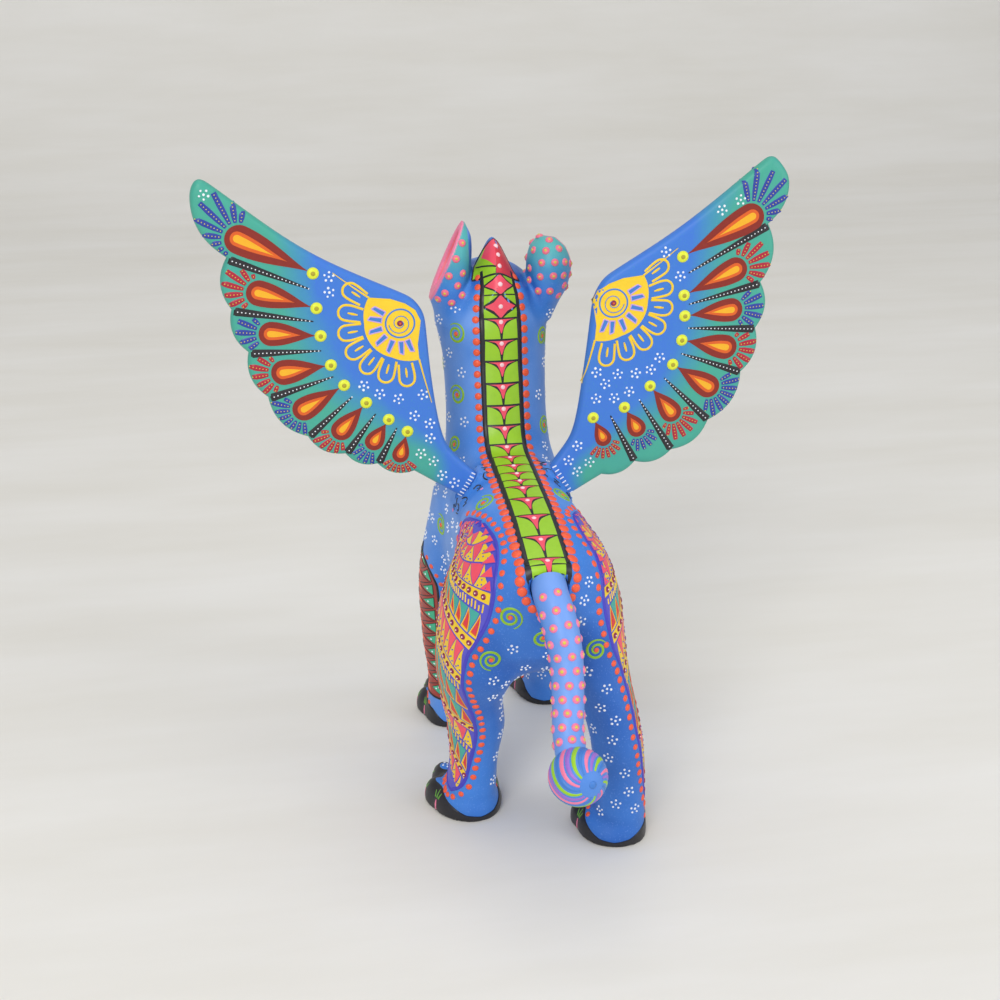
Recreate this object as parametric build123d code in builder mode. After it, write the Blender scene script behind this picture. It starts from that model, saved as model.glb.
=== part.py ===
"""Alebrije figure: a winged cat carved from copal wood, standing mid-stride.

The cat faces -Y with its left side towards +X.  The torso, neck, head, legs and paws are one
carving.  The two wings, the tail and the two ears are carved apart and plug in on round dowels.
The origin is the middle of the whole figure's footprint, on the ground.
"""

from build123d import *
import os

os.makedirs("parts", exist_ok=True)

# Driving dimensions, in millimetres and degrees.
SPINE_X = -5.4  # mid-plane of the body: the left wing reaches further out than the right one
WING_Y = -12.0  # plane of both wings
WING_THICKNESS = 4.6
WING_EDGE_RADIUS = 1.5
SEAT_GAP = 0.15  # air left between a plugged-in piece and the flat it seats on
WING_PAD_DEPTH = 9.0
WING_PAD_SIDE = 1.0  # how far a pad's flat runs past the wing's cut end, all round
DOWEL_RADIUS = 1.0
DOWEL_REACH = 7.0  # length of dowel in the wing, and again in the body
DOWEL_SPACING = 5.0
RUNNING_GAP = 0.05  # radial clearance of a dowel or peg in the hole it slides out of
HOLE_SPARE = 0.6  # a blind hole is this much deeper than its dowel
TAIL_PEG_RADIUS = 2.4
TAIL_PEG_REACH = 8.0
TAIL_COLLAR_GAP = 0.6
EAR_PEG_RADIUS = 1.25
EAR_PEG_REACH = 5.0
EAR_SEAT_Z = 160.5
PAW_HEIGHT = 11.0
PAW_EDGE_RADIUS = 5.0
SOLE_EDGE_RADIUS = 1.0
FEATHER_BULGE = 0.16  # rise of a feather's rounded end, as a share of its width

# Torso: (y, height of the middle, half width, half height) from the rump to the chest.
TORSO = (
    (47.0, 94.0, 9.0, 9.0),
    (42.5, 86.5, 18.0, 18.5),
    (32.0, 84.0, 22.5, 24.0),
    (14.0, 84.5, 23.0, 27.0),
    (-8.0, 86.5, 21.0, 28.0),
    (-26.0, 87.0, 22.0, 29.0),
    (-44.0, 85.0, 21.5, 26.5),
    (-55.0, 85.0, 16.0, 20.0),
    (-61.0, 87.0, 8.0, 11.0),
)
TORSO_CORNER = 0.86  # corner radius of a torso section, as a share of its half width

# Neck and limbs: (x from the spine, y, z, half width, half depth) of level slices.
NECK = (
    (0.0, -37.0, 92.0, 19.5, 18.0),
    (0.0, -43.0, 112.0, 18.0, 17.5),
    (0.0, -47.0, 127.0, 17.2, 16.5),
    (0.0, -50.5, 142.0, 17.6, 16.5),
    (0.5, -54.0, 155.0, 19.4, 18.5),
    (0.5, -56.0, 165.0, 15.5, 18.0),
    (0.5, -56.0, 171.5, 10.0, 13.0),
    (0.5, -55.5, 174.5, 5.0, 7.0),
)
LEFT_HIND_LEG = (
    (11.5, 22.0, 99.0, 11.0, 14.0),
    (16.0, 24.0, 80.0, 14.2, 19.0),
    (17.5, 23.0, 65.0, 13.8, 18.5),
    (19.2, 18.0, 48.0, 10.1, 13.5),
    (17.1, 13.0, 34.0, 9.3, 11.0),
    (17.6, 10.5, 19.0, 7.9, 9.0),
    (18.4, 9.5, 0.0, 8.4, 9.0),
)
RIGHT_HIND_LEG = (
    (-11.5, 23.0, 99.0, 11.0, 14.0),
    (-14.2, 27.0, 80.0, 13.2, 19.0),
    (-16.5, 29.0, 65.0, 12.2, 17.5),
    (-22.8, 33.0, 48.0, 8.8, 12.5),
    (-25.8, 34.5, 34.0, 8.3, 10.5),
    (-27.0, 34.5, 19.0, 7.9, 9.0),
    (-27.4, 33.5, 0.0, 8.4, 9.0),
)
LEFT_FORELEG = (
    (13.0, -39.0, 96.0, 10.0, 12.0),
    (16.5, -44.0, 75.0, 10.0, 12.0),
    (18.3, -49.0, 55.0, 9.0, 10.5),
    (17.8, -53.0, 36.0, 8.0, 9.2),
    (16.0, -56.5, 17.0, 7.5, 8.5),
    (16.0, -57.5, 0.0, 8.0, 8.8),
)
RIGHT_FORELEG = (
    (-13.0, -42.0, 96.0, 10.0, 12.0),
    (-17.5, -48.0, 75.0, 10.0, 12.0),
    (-20.5, -55.5, 55.0, 9.0, 10.5),
    (-22.5, -62.0, 36.0, 8.0, 9.2),
    (-23.2, -67.5, 17.0, 7.5, 8.5),
    (-23.2, -69.0, 0.0, 8.0, 8.8),
)
# Paws: (x from the spine, y, half width, half length).
PAWS = (
    (19.5, 4.5, 13.0, 15.0),
    (-25.4, 28.5, 12.5, 15.0),
    (15.4, -62.5, 10.8, 14.5),
    (-22.0, -75.2, 11.0, 14.8),
)
# Head: (distance in front of the neck's middle, height, half width, half height) of upright slices.
HEAD_Y = -56.0
HEAD_SHIFT = 0.5  # the head sits a little to the left of the spine
MUZZLE = (
    (0.0, 158.0, 17.5, 13.0),
    (12.0, 157.0, 15.5, 12.5),
    (20.0, 154.0, 11.0, 9.0),
    (25.5, 151.5, 8.5, 7.0),
    (28.0, 151.0, 5.0, 4.0),
)
# Crest: a pointed keel on the crown, given by its side outline (y, z) and its base width.
CREST_OUTLINE = ((-38.0, 166.0), (-42.0, 173.0), (-53.0, 182.0), (-60.0, 170.0), (-56.0, 164.0))
CREST_WIDTH = 8.4
CREST_TAPER = 20

# Wings, drawn in their own plane as (x, z).  The notches lie between neighbouring feathers.
LEFT_ROOT = ((12.2, 105.6), (7.2, 113.6))
LEFT_NOTCHES = (
    (94.7, 211.5),
    (84.9, 189.0),
    (84.2, 172.5),
    (79.6, 158.5),
    (74.1, 143.4),
    (62.1, 129.6),
    (50.2, 123.0),
    (39.9, 118.9),
    (27.9, 115.7),
)
LEFT_SHAFT = ((7.2, 113.6), (17.7, 125.7), (21.5, 146.0), (23.6, 168.5))
LEFT_LEADING = ((27.0, 173.6), (58.8, 189.4), (92.4, 214.7))
RIGHT_ROOT = ((-23.8, 104.0), (-17.5, 114.5))
RIGHT_NOTCHES = (
    (-94.6, 209.3),
    (-88.6, 193.1),
    (-87.0, 174.0),
    (-86.0, 158.6),
    (-81.7, 143.8),
    (-71.1, 127.5),
    (-58.8, 117.8),
    (-46.3, 114.4),
    (-35.0, 110.5),
)
RIGHT_SHAFT = ((-17.5, 114.5), (-25.2, 126.5), (-28.6, 148.0), (-31.2, 171.5))
RIGHT_LEADING = ((-34.5, 177.4), (-59.7, 193.1), (-89.1, 215.9))

# Tail: middle line (x from the spine, y, z) and radius, from its cut end to the tuft.
TAIL_ROOT = (0.0, 46.5, 97.8)
TAIL_AIM = (0.0, 0.88, -0.475)
TAIL_LINE = ((-0.4, 52.2, 94.2), (-2.0, 57.2, 87.0), (-3.0, 60.5, 78.5), (-2.6, 66.0, 66.5), (-1.2, 72.0, 56.5))
TAIL_RADII = (5.5, 5.4, 5.2, 4.9, 4.7, 4.6)
TUFT_CENTRE = (-2.5, 81.2, 50.0)
TUFT_AIM = (-0.32, 0.93, 0.16)
TUFT_RADIUS = 8.8

# Ears. Slices: (x from the spine, z, half width, half depth) of level slices of the uncut ear. The rim is
# a flat cut through a point (x from the spine, y, z) facing along an aim; the cup behind it is a loft of
# ovals (depth, half width, half height). The left ear opens sideways, the right one forwards and sideways.
EAR_Y = -50.5
LEFT_EAR = (
    (15.0, EAR_SEAT_Z + SEAT_GAP, 6.2, 7.6),
    (15.8, 168.0, 7.6, 9.6),
    (15.2, 176.0, 7.4, 9.8),
    (13.2, 184.0, 5.4, 7.6),
    (11.8, 189.5, 2.0, 3.0),
)
RIGHT_EAR = (
    (-16.0, EAR_SEAT_Z + SEAT_GAP, 6.4, 7.6),
    (-18.2, 167.0, 7.4, 9.2),
    (-19.0, 173.5, 7.6, 9.8),
    (-18.8, 179.5, 6.2, 8.2),
    (-18.4, 183.5, 2.8, 3.8),
)
LEFT_RIM = ((16.6, EAR_Y, 176.5), (0.90, -0.20, 0.39))
RIGHT_RIM = ((-20.4, -53.4, 173.5), (-0.66, -0.70, 0.28))
LEFT_CUP = ((0.0, 4.6, 9.6), (3.0, 4.0, 8.4), (6.0, 2.2, 5.2))
RIGHT_CUP = ((0.0, 4.6, 7.6), (3.0, 4.0, 6.4), (6.0, 2.2, 4.0))
LEFT_EAR_PEG_X = 13.4
RIGHT_EAR_PEG_X = -14.4
EAR_SEAT_MARGIN = 1.0  # how far an ear's seat reaches past its foot
EAR_CLEARANCE = 20.0  # height cleared above the seat, widening upwards
EAR_CLEARANCE_TAPER = -12


def spine(x, y, z):
    """A point given by its distance from the body's mid-plane."""
    return (SPINE_X + x, y, z)


def wing_root_plane(root, side):
    """The cut end of a wing: origin at its middle, X up the cut, normal out along the dowels."""
    (low_x, low_z), (high_x, high_z) = root
    up = Vector(high_x - low_x, 0, high_z - low_z).normalized()
    out = Vector(up.Z, 0, -up.X) * side
    middle = ((low_x + high_x) / 2, WING_Y, (low_z + high_z) / 2)
    return Plane(origin=middle, x_dir=up, z_dir=out)


def root_length(root):
    """Height of a wing's cut end."""
    return (Vector(*root[1]) - Vector(*root[0])).length


LEFT_ROOT_PLANE = wing_root_plane(LEFT_ROOT, 1)
RIGHT_ROOT_PLANE = wing_root_plane(RIGHT_ROOT, -1)
ROOTS = ((LEFT_ROOT_PLANE, root_length(LEFT_ROOT)), (RIGHT_ROOT_PLANE, root_length(RIGHT_ROOT)))
TAIL_PLANE = Plane(origin=spine(*TAIL_ROOT), x_dir=(1, 0, 0), z_dir=TAIL_AIM)
EAR_PEG_PLANES = [Plane(origin=spine(x, EAR_Y, EAR_SEAT_Z)) for x in (LEFT_EAR_PEG_X, RIGHT_EAR_PEG_X)]


def paw(x, y, half_width, half_length):
    """One rounded paw standing on the ground."""
    with BuildPart() as block:
        with BuildSketch(Plane(origin=spine(x, y, 0))):
            Ellipse(half_width, half_length)
        extrude(amount=PAW_HEIGHT)
        fillet(block.edges().sort_by(Axis.Z)[-1], PAW_EDGE_RADIUS)
        fillet(block.edges().sort_by(Axis.Z)[0], SOLE_EDGE_RADIUS)
    return block.part


paws = [paw(*sizes) for sizes in PAWS]

# The carving: torso, neck, head, legs, paws and crest in one piece of wood.
with BuildPart() as body:
    for y, z, half_width, half_height in TORSO:
        with BuildSketch(Plane(origin=spine(0, y, z), x_dir=(1, 0, 0), z_dir=(0, -1, 0))):
            RectangleRounded(2 * half_width, 2 * half_height, TORSO_CORNER * half_width)
    loft()
    for limb in (NECK, LEFT_HIND_LEG, RIGHT_HIND_LEG, LEFT_FORELEG, RIGHT_FORELEG):
        for x, y, z, half_width, half_depth in limb:
            with BuildSketch(Plane(origin=spine(x, y, z))):
                Ellipse(half_width, half_depth)
        loft()
    for ahead, z, half_width, half_height in MUZZLE:
        here = spine(HEAD_SHIFT, HEAD_Y - ahead, z)
        with BuildSketch(Plane(origin=here, x_dir=(1, 0, 0), z_dir=(0, -1, 0))):
            Ellipse(half_width, half_height)
    loft()
    for one_paw in paws:
        add(one_paw)
    with BuildSketch(Plane(origin=spine(HEAD_SHIFT, 0, 0), x_dir=(0, 1, 0), z_dir=(1, 0, 0))):
        with BuildLine():
            Polyline(*CREST_OUTLINE, close=True)
        make_face()
    extrude(amount=CREST_WIDTH / 2, both=True, taper=CREST_TAPER)
    # A flat pad on each flank for the wing's cut end, with two dowel holes.
    for root_plane, length in ROOTS:
        floor = root_plane.offset(-SEAT_GAP)
        with BuildSketch(floor):
            RectangleRounded(length + WING_PAD_SIDE, WING_THICKNESS + 2 * WING_PAD_SIDE, 2 * WING_PAD_SIDE)
        extrude(amount=-WING_PAD_DEPTH)
        with BuildSketch(floor):
            Rectangle(2 * length, 3 * WING_THICKNESS)
        extrude(amount=WING_PAD_DEPTH, mode=Mode.SUBTRACT)
        with BuildSketch(floor):
            with GridLocations(DOWEL_SPACING, 0, 2, 1):
                Circle(DOWEL_RADIUS + RUNNING_GAP)
        extrude(amount=-(DOWEL_REACH + HOLE_SPARE), mode=Mode.SUBTRACT)
    # A round recess in the rump for the tail's cut end, and the hole for its peg.
    with BuildSketch(TAIL_PLANE.offset(-SEAT_GAP)):
        Circle(TAIL_RADII[0] + TAIL_COLLAR_GAP)
    extrude(amount=4 * TAIL_RADII[0], mode=Mode.SUBTRACT)
    with BuildSketch(TAIL_PLANE.offset(-SEAT_GAP)):
        Circle(TAIL_PEG_RADIUS + RUNNING_GAP)
    extrude(amount=-(TAIL_PEG_REACH + HOLE_SPARE), mode=Mode.SUBTRACT)
    # A level seat on each side of the crown for an ear, with its peg hole.
    for slices, peg_plane in zip((LEFT_EAR, RIGHT_EAR), EAR_PEG_PLANES):
        foot_x, _, foot_half_width, foot_half_depth = slices[0]
        with BuildSketch(Plane(origin=spine(foot_x, EAR_Y, EAR_SEAT_Z))):
            Ellipse(foot_half_width + EAR_SEAT_MARGIN, foot_half_depth + EAR_SEAT_MARGIN)
        extrude(amount=EAR_CLEARANCE, mode=Mode.SUBTRACT, taper=EAR_CLEARANCE_TAPER)
        with BuildSketch(peg_plane):
            Circle(EAR_PEG_RADIUS)
        extrude(amount=-EAR_PEG_REACH, mode=Mode.SUBTRACT)
body.part.label = "body"
export_step(body.part, "parts/body.step")


def feather_ends(notches, side):
    """The arcs from notch to notch, each bulging outwards as the end of one feather."""
    for start, end in zip(notches, notches[1:]):
        chord = Vector(*end) - Vector(*start)
        outwards = Vector(-chord.Y, chord.X) * side
        crown = Vector(*start) + chord / 2 + outwards * FEATHER_BULGE
        yield start, (crown.X, crown.Y), end


def wing(root, notches, shaft, leading, root_plane, side):
    """A flat carved wing: straight cut end, bent leading edge, eight feather ends behind."""
    with BuildPart() as plate:
        with BuildSketch(Plane(origin=(0, WING_Y, 0), x_dir=(1, 0, 0), z_dir=(0, -1, 0))):
            with BuildLine():
                Line(root[0], root[1])
                Spline(*shaft)
                Spline(shaft[-1], *leading)
                Line(leading[-1], notches[0])
                for start, crown, end in feather_ends(notches, side):
                    ThreePointArc(start, crown, end)
                Line(notches[-1], root[0])
            make_face()
        extrude(amount=WING_THICKNESS / 2, both=True)
        front_edges = plate.faces().filter_by(Axis.Y).edges().filter_by(GeomType.BSPLINE)
        fillet(front_edges, WING_EDGE_RADIUS)
        with BuildSketch(root_plane):
            with GridLocations(DOWEL_SPACING, 0, 2, 1):
                Circle(DOWEL_RADIUS)
        extrude(amount=DOWEL_REACH, mode=Mode.SUBTRACT)
    return plate.part


def wing_dowels(root_plane):
    """The two round dowels glued into a wing's cut end."""
    with BuildPart() as dowels:
        with BuildSketch(root_plane.offset(-DOWEL_REACH)):
            with GridLocations(DOWEL_SPACING, 0, 2, 1):
                Circle(DOWEL_RADIUS)
        extrude(amount=2 * DOWEL_REACH)
    return dowels.part


left_wing = wing(LEFT_ROOT, LEFT_NOTCHES, LEFT_SHAFT, LEFT_LEADING, LEFT_ROOT_PLANE, 1)
left_wing.label = "left_wing"
export_step(left_wing, "parts/left_wing.step")

right_wing = wing(RIGHT_ROOT, RIGHT_NOTCHES, RIGHT_SHAFT, RIGHT_LEADING, RIGHT_ROOT_PLANE, -1)
right_wing.label = "right_wing"
export_step(right_wing, "parts/right_wing.step")

left_wing_dowels = wing_dowels(LEFT_ROOT_PLANE)
left_wing_dowels.label = "left_wing_dowels"
export_step(left_wing_dowels, "parts/left_wing_dowels.step")

right_wing_dowels = wing_dowels(RIGHT_ROOT_PLANE)
right_wing_dowels.label = "right_wing_dowels"
export_step(right_wing_dowels, "parts/right_wing_dowels.step")

# The tail: a tapering round rod that hangs from the rump and ends in a turned-up tuft.
with BuildPart() as tail:
    with BuildLine(mode=Mode.PRIVATE) as tail_line:
        Spline(
            spine(*TAIL_ROOT),
            *[spine(*point) for point in TAIL_LINE],
            spine(*TUFT_CENTRE),
            tangents=(TAIL_AIM, TUFT_AIM),
        )
    for number, radius in enumerate(TAIL_RADII):
        along = number / (len(TAIL_RADII) - 1)
        with BuildSketch(Plane(tail_line.line ^ along)):
            Circle(radius)
    loft()
    with Locations(spine(*TUFT_CENTRE)):
        Sphere(TUFT_RADIUS)
    with BuildSketch(TAIL_PLANE):
        Circle(TAIL_PEG_RADIUS + RUNNING_GAP)
    extrude(amount=TAIL_PEG_REACH + HOLE_SPARE, mode=Mode.SUBTRACT)
tail.part.label = "tail"
export_step(tail.part, "parts/tail.step")

# The tail's round peg: it turns in the rump and the tail pulls off it.
with BuildPart() as tail_peg:
    with BuildSketch(TAIL_PLANE.offset(-TAIL_PEG_REACH)):
        Circle(TAIL_PEG_RADIUS)
    extrude(amount=2 * TAIL_PEG_REACH)
tail_peg.part.label = "tail_peg"
export_step(tail_peg.part, "parts/tail_peg.step")


def ear(slices, rim_cut, cup, peg_plane):
    """A spoon-shaped ear, hollow behind its flat rim."""
    rim_point, (aim_x, aim_y, aim_z) = rim_cut
    across = (-aim_y, aim_x, 0) if aim_x > 0 else (aim_y, -aim_x, 0)
    rim = Plane(origin=spine(*rim_point), x_dir=across, z_dir=(aim_x, aim_y, aim_z))
    with BuildPart() as shell:
        for x, z, half_width, half_depth in slices:
            with BuildSketch(Plane(origin=spine(x, EAR_Y, z))):
                Ellipse(half_width, half_depth)
        loft()
        split(bisect_by=rim, keep=Keep.BOTTOM)
        for depth, half_width, half_height in cup:
            with BuildSketch(rim.offset(-depth)):
                Ellipse(half_width, half_height)
        loft(mode=Mode.SUBTRACT)
        with BuildSketch(peg_plane):
            Circle(EAR_PEG_RADIUS)
        extrude(amount=EAR_PEG_REACH, mode=Mode.SUBTRACT)
    return shell.part


def ear_peg(peg_plane):
    """The short round peg glued between an ear and the head."""
    with BuildPart() as peg:
        with BuildSketch(peg_plane.offset(-EAR_PEG_REACH)):
            Circle(EAR_PEG_RADIUS)
        extrude(amount=2 * EAR_PEG_REACH)
    return peg.part


EARS = (
    ("left_ear", LEFT_EAR, LEFT_RIM, LEFT_CUP, EAR_PEG_PLANES[0]),
    ("right_ear", RIGHT_EAR, RIGHT_RIM, RIGHT_CUP, EAR_PEG_PLANES[1]),
)
for name, slices, rim_cut, cup, peg_plane in EARS:
    one_ear = ear(slices, rim_cut, cup, peg_plane)
    one_ear.label = name
    export_step(one_ear, f"parts/{name}.step")
    one_peg = ear_peg(peg_plane)
    one_peg.label = f"{name}_peg"
    export_step(one_peg, f"parts/{name}_peg.step")
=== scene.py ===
"""Looks of the alebrije winged cat: sculpted carving, wings, tail and ears, and all their paint."""

import collections
import math
import random

import bpy
import numpy as np
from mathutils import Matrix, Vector
from mathutils.bvhtree import BVHTree
from mathutils.geometry import delaunay_2d_cdt

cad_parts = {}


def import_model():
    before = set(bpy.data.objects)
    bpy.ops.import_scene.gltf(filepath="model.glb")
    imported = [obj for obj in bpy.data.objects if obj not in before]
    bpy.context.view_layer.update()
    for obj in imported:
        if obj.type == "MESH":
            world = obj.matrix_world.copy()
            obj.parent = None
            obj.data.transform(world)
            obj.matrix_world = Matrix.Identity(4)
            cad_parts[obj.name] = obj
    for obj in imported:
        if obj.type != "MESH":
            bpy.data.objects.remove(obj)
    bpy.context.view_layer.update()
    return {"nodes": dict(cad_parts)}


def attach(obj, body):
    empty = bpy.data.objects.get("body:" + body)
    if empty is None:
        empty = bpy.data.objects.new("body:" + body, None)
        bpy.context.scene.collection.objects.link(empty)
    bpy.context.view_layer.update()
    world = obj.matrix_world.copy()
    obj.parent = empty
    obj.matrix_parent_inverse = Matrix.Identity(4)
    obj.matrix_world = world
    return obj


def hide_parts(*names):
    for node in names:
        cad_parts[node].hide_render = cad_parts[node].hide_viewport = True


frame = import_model()

MM = 0.001
DRAW = random.Random(7)

# ---------------------------------------------------------------------------------------------
# Sizes in millimetres, as in the CAD model
# ---------------------------------------------------------------------------------------------
SPINE = -5.4  # x of the body's mid-plane
WING_Y = -12.0
WING_THICKNESS = 4.6
TAIL_ROOT = np.array((SPINE, 46.5, 97.8))
TAIL_AIM = np.array((0.0, 0.88, -0.475)) / math.hypot(0.88, 0.475)

TORSO = (  # y, height of the middle, half width, half height
    (49.5, 95.5, 2.5, 2.5),
    (47.5, 94.0, 9.5, 9.5),
    (42.5, 87.5, 17.5, 17.5),
    (32.0, 84.5, 22.5, 23.6),
    (14.0, 85.0, 23.0, 26.8),
    (-8.0, 86.5, 21.0, 28.0),
    (-26.0, 87.0, 21.5, 29.0),
    (-44.0, 85.0, 20.5, 26.5),
    (-55.0, 86.0, 15.5, 19.0),
    (-61.0, 88.0, 7.0, 9.0),
    (-62.5, 88.5, 2.0, 3.0),
)
# x from the spine, y, z, half width, half depth of level slices
NECK = (
    (0.0, -36.0, 86.0, 19.0, 19.0),
    (0.0, -38.5, 98.0, 19.5, 18.5),
    (0.0, -43.0, 112.0, 18.0, 17.0),
    (0.0, -47.0, 127.0, 17.2, 16.5),
    (0.0, -50.5, 142.0, 17.6, 16.5),
    (0.5, -54.0, 155.0, 19.0, 18.5),
    (0.5, -56.0, 164.0, 16.0, 18.5),
    (0.5, -56.0, 170.5, 10.0, 14.0),
    (0.5, -55.5, 174.0, 4.0, 7.0),
)
LEFT_HIND = (
    (11.5, 22.0, 99.0, 10.0, 13.0),
    (14.8, 23.5, 90.0, 12.6, 16.5),
    (16.0, 24.0, 80.0, 14.2, 19.0),
    (17.5, 23.0, 65.0, 13.8, 18.5),
    (19.2, 18.0, 48.0, 10.1, 13.5),
    (17.1, 13.0, 34.0, 9.3, 11.0),
    (17.6, 10.5, 19.0, 7.9, 9.0),
    (18.4, 9.5, 6.0, 8.4, 9.0),
    (18.4, 9.5, 0.0, 8.4, 9.0),
)
RIGHT_HIND = (
    (-11.5, 23.0, 99.0, 10.0, 13.0),
    (-13.4, 25.0, 90.0, 12.0, 16.5),
    (-14.2, 27.0, 80.0, 13.2, 19.0),
    (-16.5, 29.0, 65.0, 12.2, 17.5),
    (-22.8, 33.0, 48.0, 8.8, 12.5),
    (-25.8, 34.5, 34.0, 8.3, 10.5),
    (-27.0, 34.5, 19.0, 7.9, 9.0),
    (-27.4, 33.5, 6.0, 8.4, 9.0),
    (-27.4, 33.5, 0.0, 8.4, 9.0),
)
LEFT_FORE = (
    (13.0, -39.0, 96.0, 9.0, 11.0),
    (16.5, -44.0, 75.0, 10.0, 12.0),
    (18.3, -49.0, 55.0, 9.0, 10.5),
    (17.8, -53.0, 36.0, 8.0, 9.2),
    (16.0, -56.5, 17.0, 7.5, 8.5),
    (16.0, -57.5, 0.0, 8.0, 8.8),
)
RIGHT_FORE = (
    (-13.0, -42.0, 96.0, 9.0, 11.0),
    (-17.5, -48.0, 75.0, 10.0, 12.0),
    (-20.5, -55.5, 55.0, 9.0, 10.5),
    (-22.5, -62.0, 36.0, 8.0, 9.2),
    (-23.2, -67.5, 17.0, 7.5, 8.5),
    (-23.2, -69.0, 0.0, 8.0, 8.8),
)
PAWS = {  # x from the spine, y, half width, half length, heading in degrees to the left
    "left_hind": (19.5, 4.5, 13.0, 14.5, 12.0),
    "right_hind": (-25.4, 28.5, 12.5, 14.5, -6.0),
    "left_fore": (15.4, -62.5, 10.8, 14.0, 5.0),
    "right_fore": (-22.0, -75.0, 11.0, 14.2, -4.0),
}

VOXEL = 0.8


# ---------------------------------------------------------------------------------------------
# The carving's field: below zero inside the wood, in millimetres
# ---------------------------------------------------------------------------------------------
def smooth_curve(stations, at):
    """Each column of the stations as a smooth function of the first one, read at the given places."""
    table = np.array(sorted(tuple(row) for row in stations), float)
    places, columns = table[:, 0], table[:, 1:]
    steps = np.diff(places)
    slopes = np.diff(columns, axis=0) / steps[:, None]
    tangents = np.zeros_like(columns)
    tangents[0], tangents[-1] = slopes[0], slopes[-1]
    same_way = slopes[:-1] * slopes[1:] > 0
    harmonic = 2 * slopes[:-1] * slopes[1:] / np.where(same_way, slopes[:-1] + slopes[1:], 1)
    tangents[1:-1] = np.where(same_way, harmonic, 0)
    at = np.clip(at, places[0], places[-1])
    k = np.clip(np.searchsorted(places, at) - 1, 0, len(steps) - 1)
    h = steps[k][..., None]
    t = ((at - places[k])[..., None]) / h
    return (
        (2 * t**3 - 3 * t**2 + 1) * columns[k]
        + (t**3 - 2 * t**2 + t) * h * tangents[k]
        + (3 * t**2 - 2 * t**3) * columns[k + 1]
        + (t**3 - t**2) * h * tangents[k + 1]
    )


def slice_field(across, along, half_across, half_along, power):
    """Field of one oval slice."""
    a, b = np.abs(across) / half_across, np.abs(along) / half_along
    return ((a**power + b**power) ** (1 / power) - 1) * np.minimum(half_across, half_along)


def past_ends(field, place, low, high):
    """Rounds a field off beyond the ends of its own stretch."""
    past = np.maximum(np.maximum(place - high, low - place), 0)
    return np.where(past > 0, np.hypot(np.maximum(field, 0), past), field)


def limb_field(x, y, z, stations, power=2.1):
    values = smooth_curve([(s[2], s[0], s[1], s[3], s[4]) for s in stations], z)
    cx, cy, rx, ry = (values[..., k] for k in range(4))
    flat = slice_field(x - cx, y - cy, rx, ry, power)
    heights = [s[2] for s in stations]
    return past_ends(flat, z, min(heights), max(heights))


def torso_field(x, y, z):
    values = smooth_curve(TORSO, y)
    cz, rx, rz = (values[..., k] for k in range(3))
    flat = slice_field(x, z - cz, rx, rz, 2.5)
    return past_ends(flat, y, TORSO[-1][0], TORSO[0][0])


def ball(x, y, z, centre, radii, turn=0.0):
    """Field of an ellipsoid turned about the vertical."""
    c, s = math.cos(math.radians(turn)), math.sin(math.radians(turn))
    dx, dy, dz = x - centre[0], y - centre[1], z - centre[2]
    a, b, d = (c * dx + s * dy) / radii[0], (c * dy - s * dx) / radii[1], dz / radii[2]
    return (np.sqrt(a * a + b * b + d * d) - 1) * min(radii)


def join(a, b, blend):
    """Smooth union."""
    h = np.maximum(blend - np.abs(a - b), 0) / blend
    return np.minimum(a, b) - h * h * blend / 4


def cut(a, b, blend):
    """Smooth difference: a without b."""
    return -join(-a, b, blend)


def paw_field(x, y, z, paw):
    """A broad pad with four toes in front, parted by grooves."""
    px, py, half_width, half_length, heading = paw
    t = math.radians(heading)
    ahead, aside = np.array((math.sin(t), -math.cos(t))), np.array((math.cos(t), math.sin(t)))
    pad = ball(x, y, z, (px, py + 1.5, 2.2), (half_width - 1.4, half_length - 1.5, 9.2), heading)
    toes = (
        (-0.80, 0.16, 4.6, 7.2),
        (-0.33, 0.66, 4.9, 8.0),
        (0.33, 0.66, 4.9, 8.0),
        (0.80, 0.16, 4.6, 7.2),
    )
    for side, front, radius, height in toes:
        cx, cy = np.array((px, py)) + side * (half_width - 2.2) * aside + front * half_length * ahead
        toe = ball(x, y, z, (cx, cy, 1.8), (radius - 0.6, radius + 1.6, height), heading + 14 * side)
        pad = join(pad, toe, 0.9)
    return pad


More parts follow.
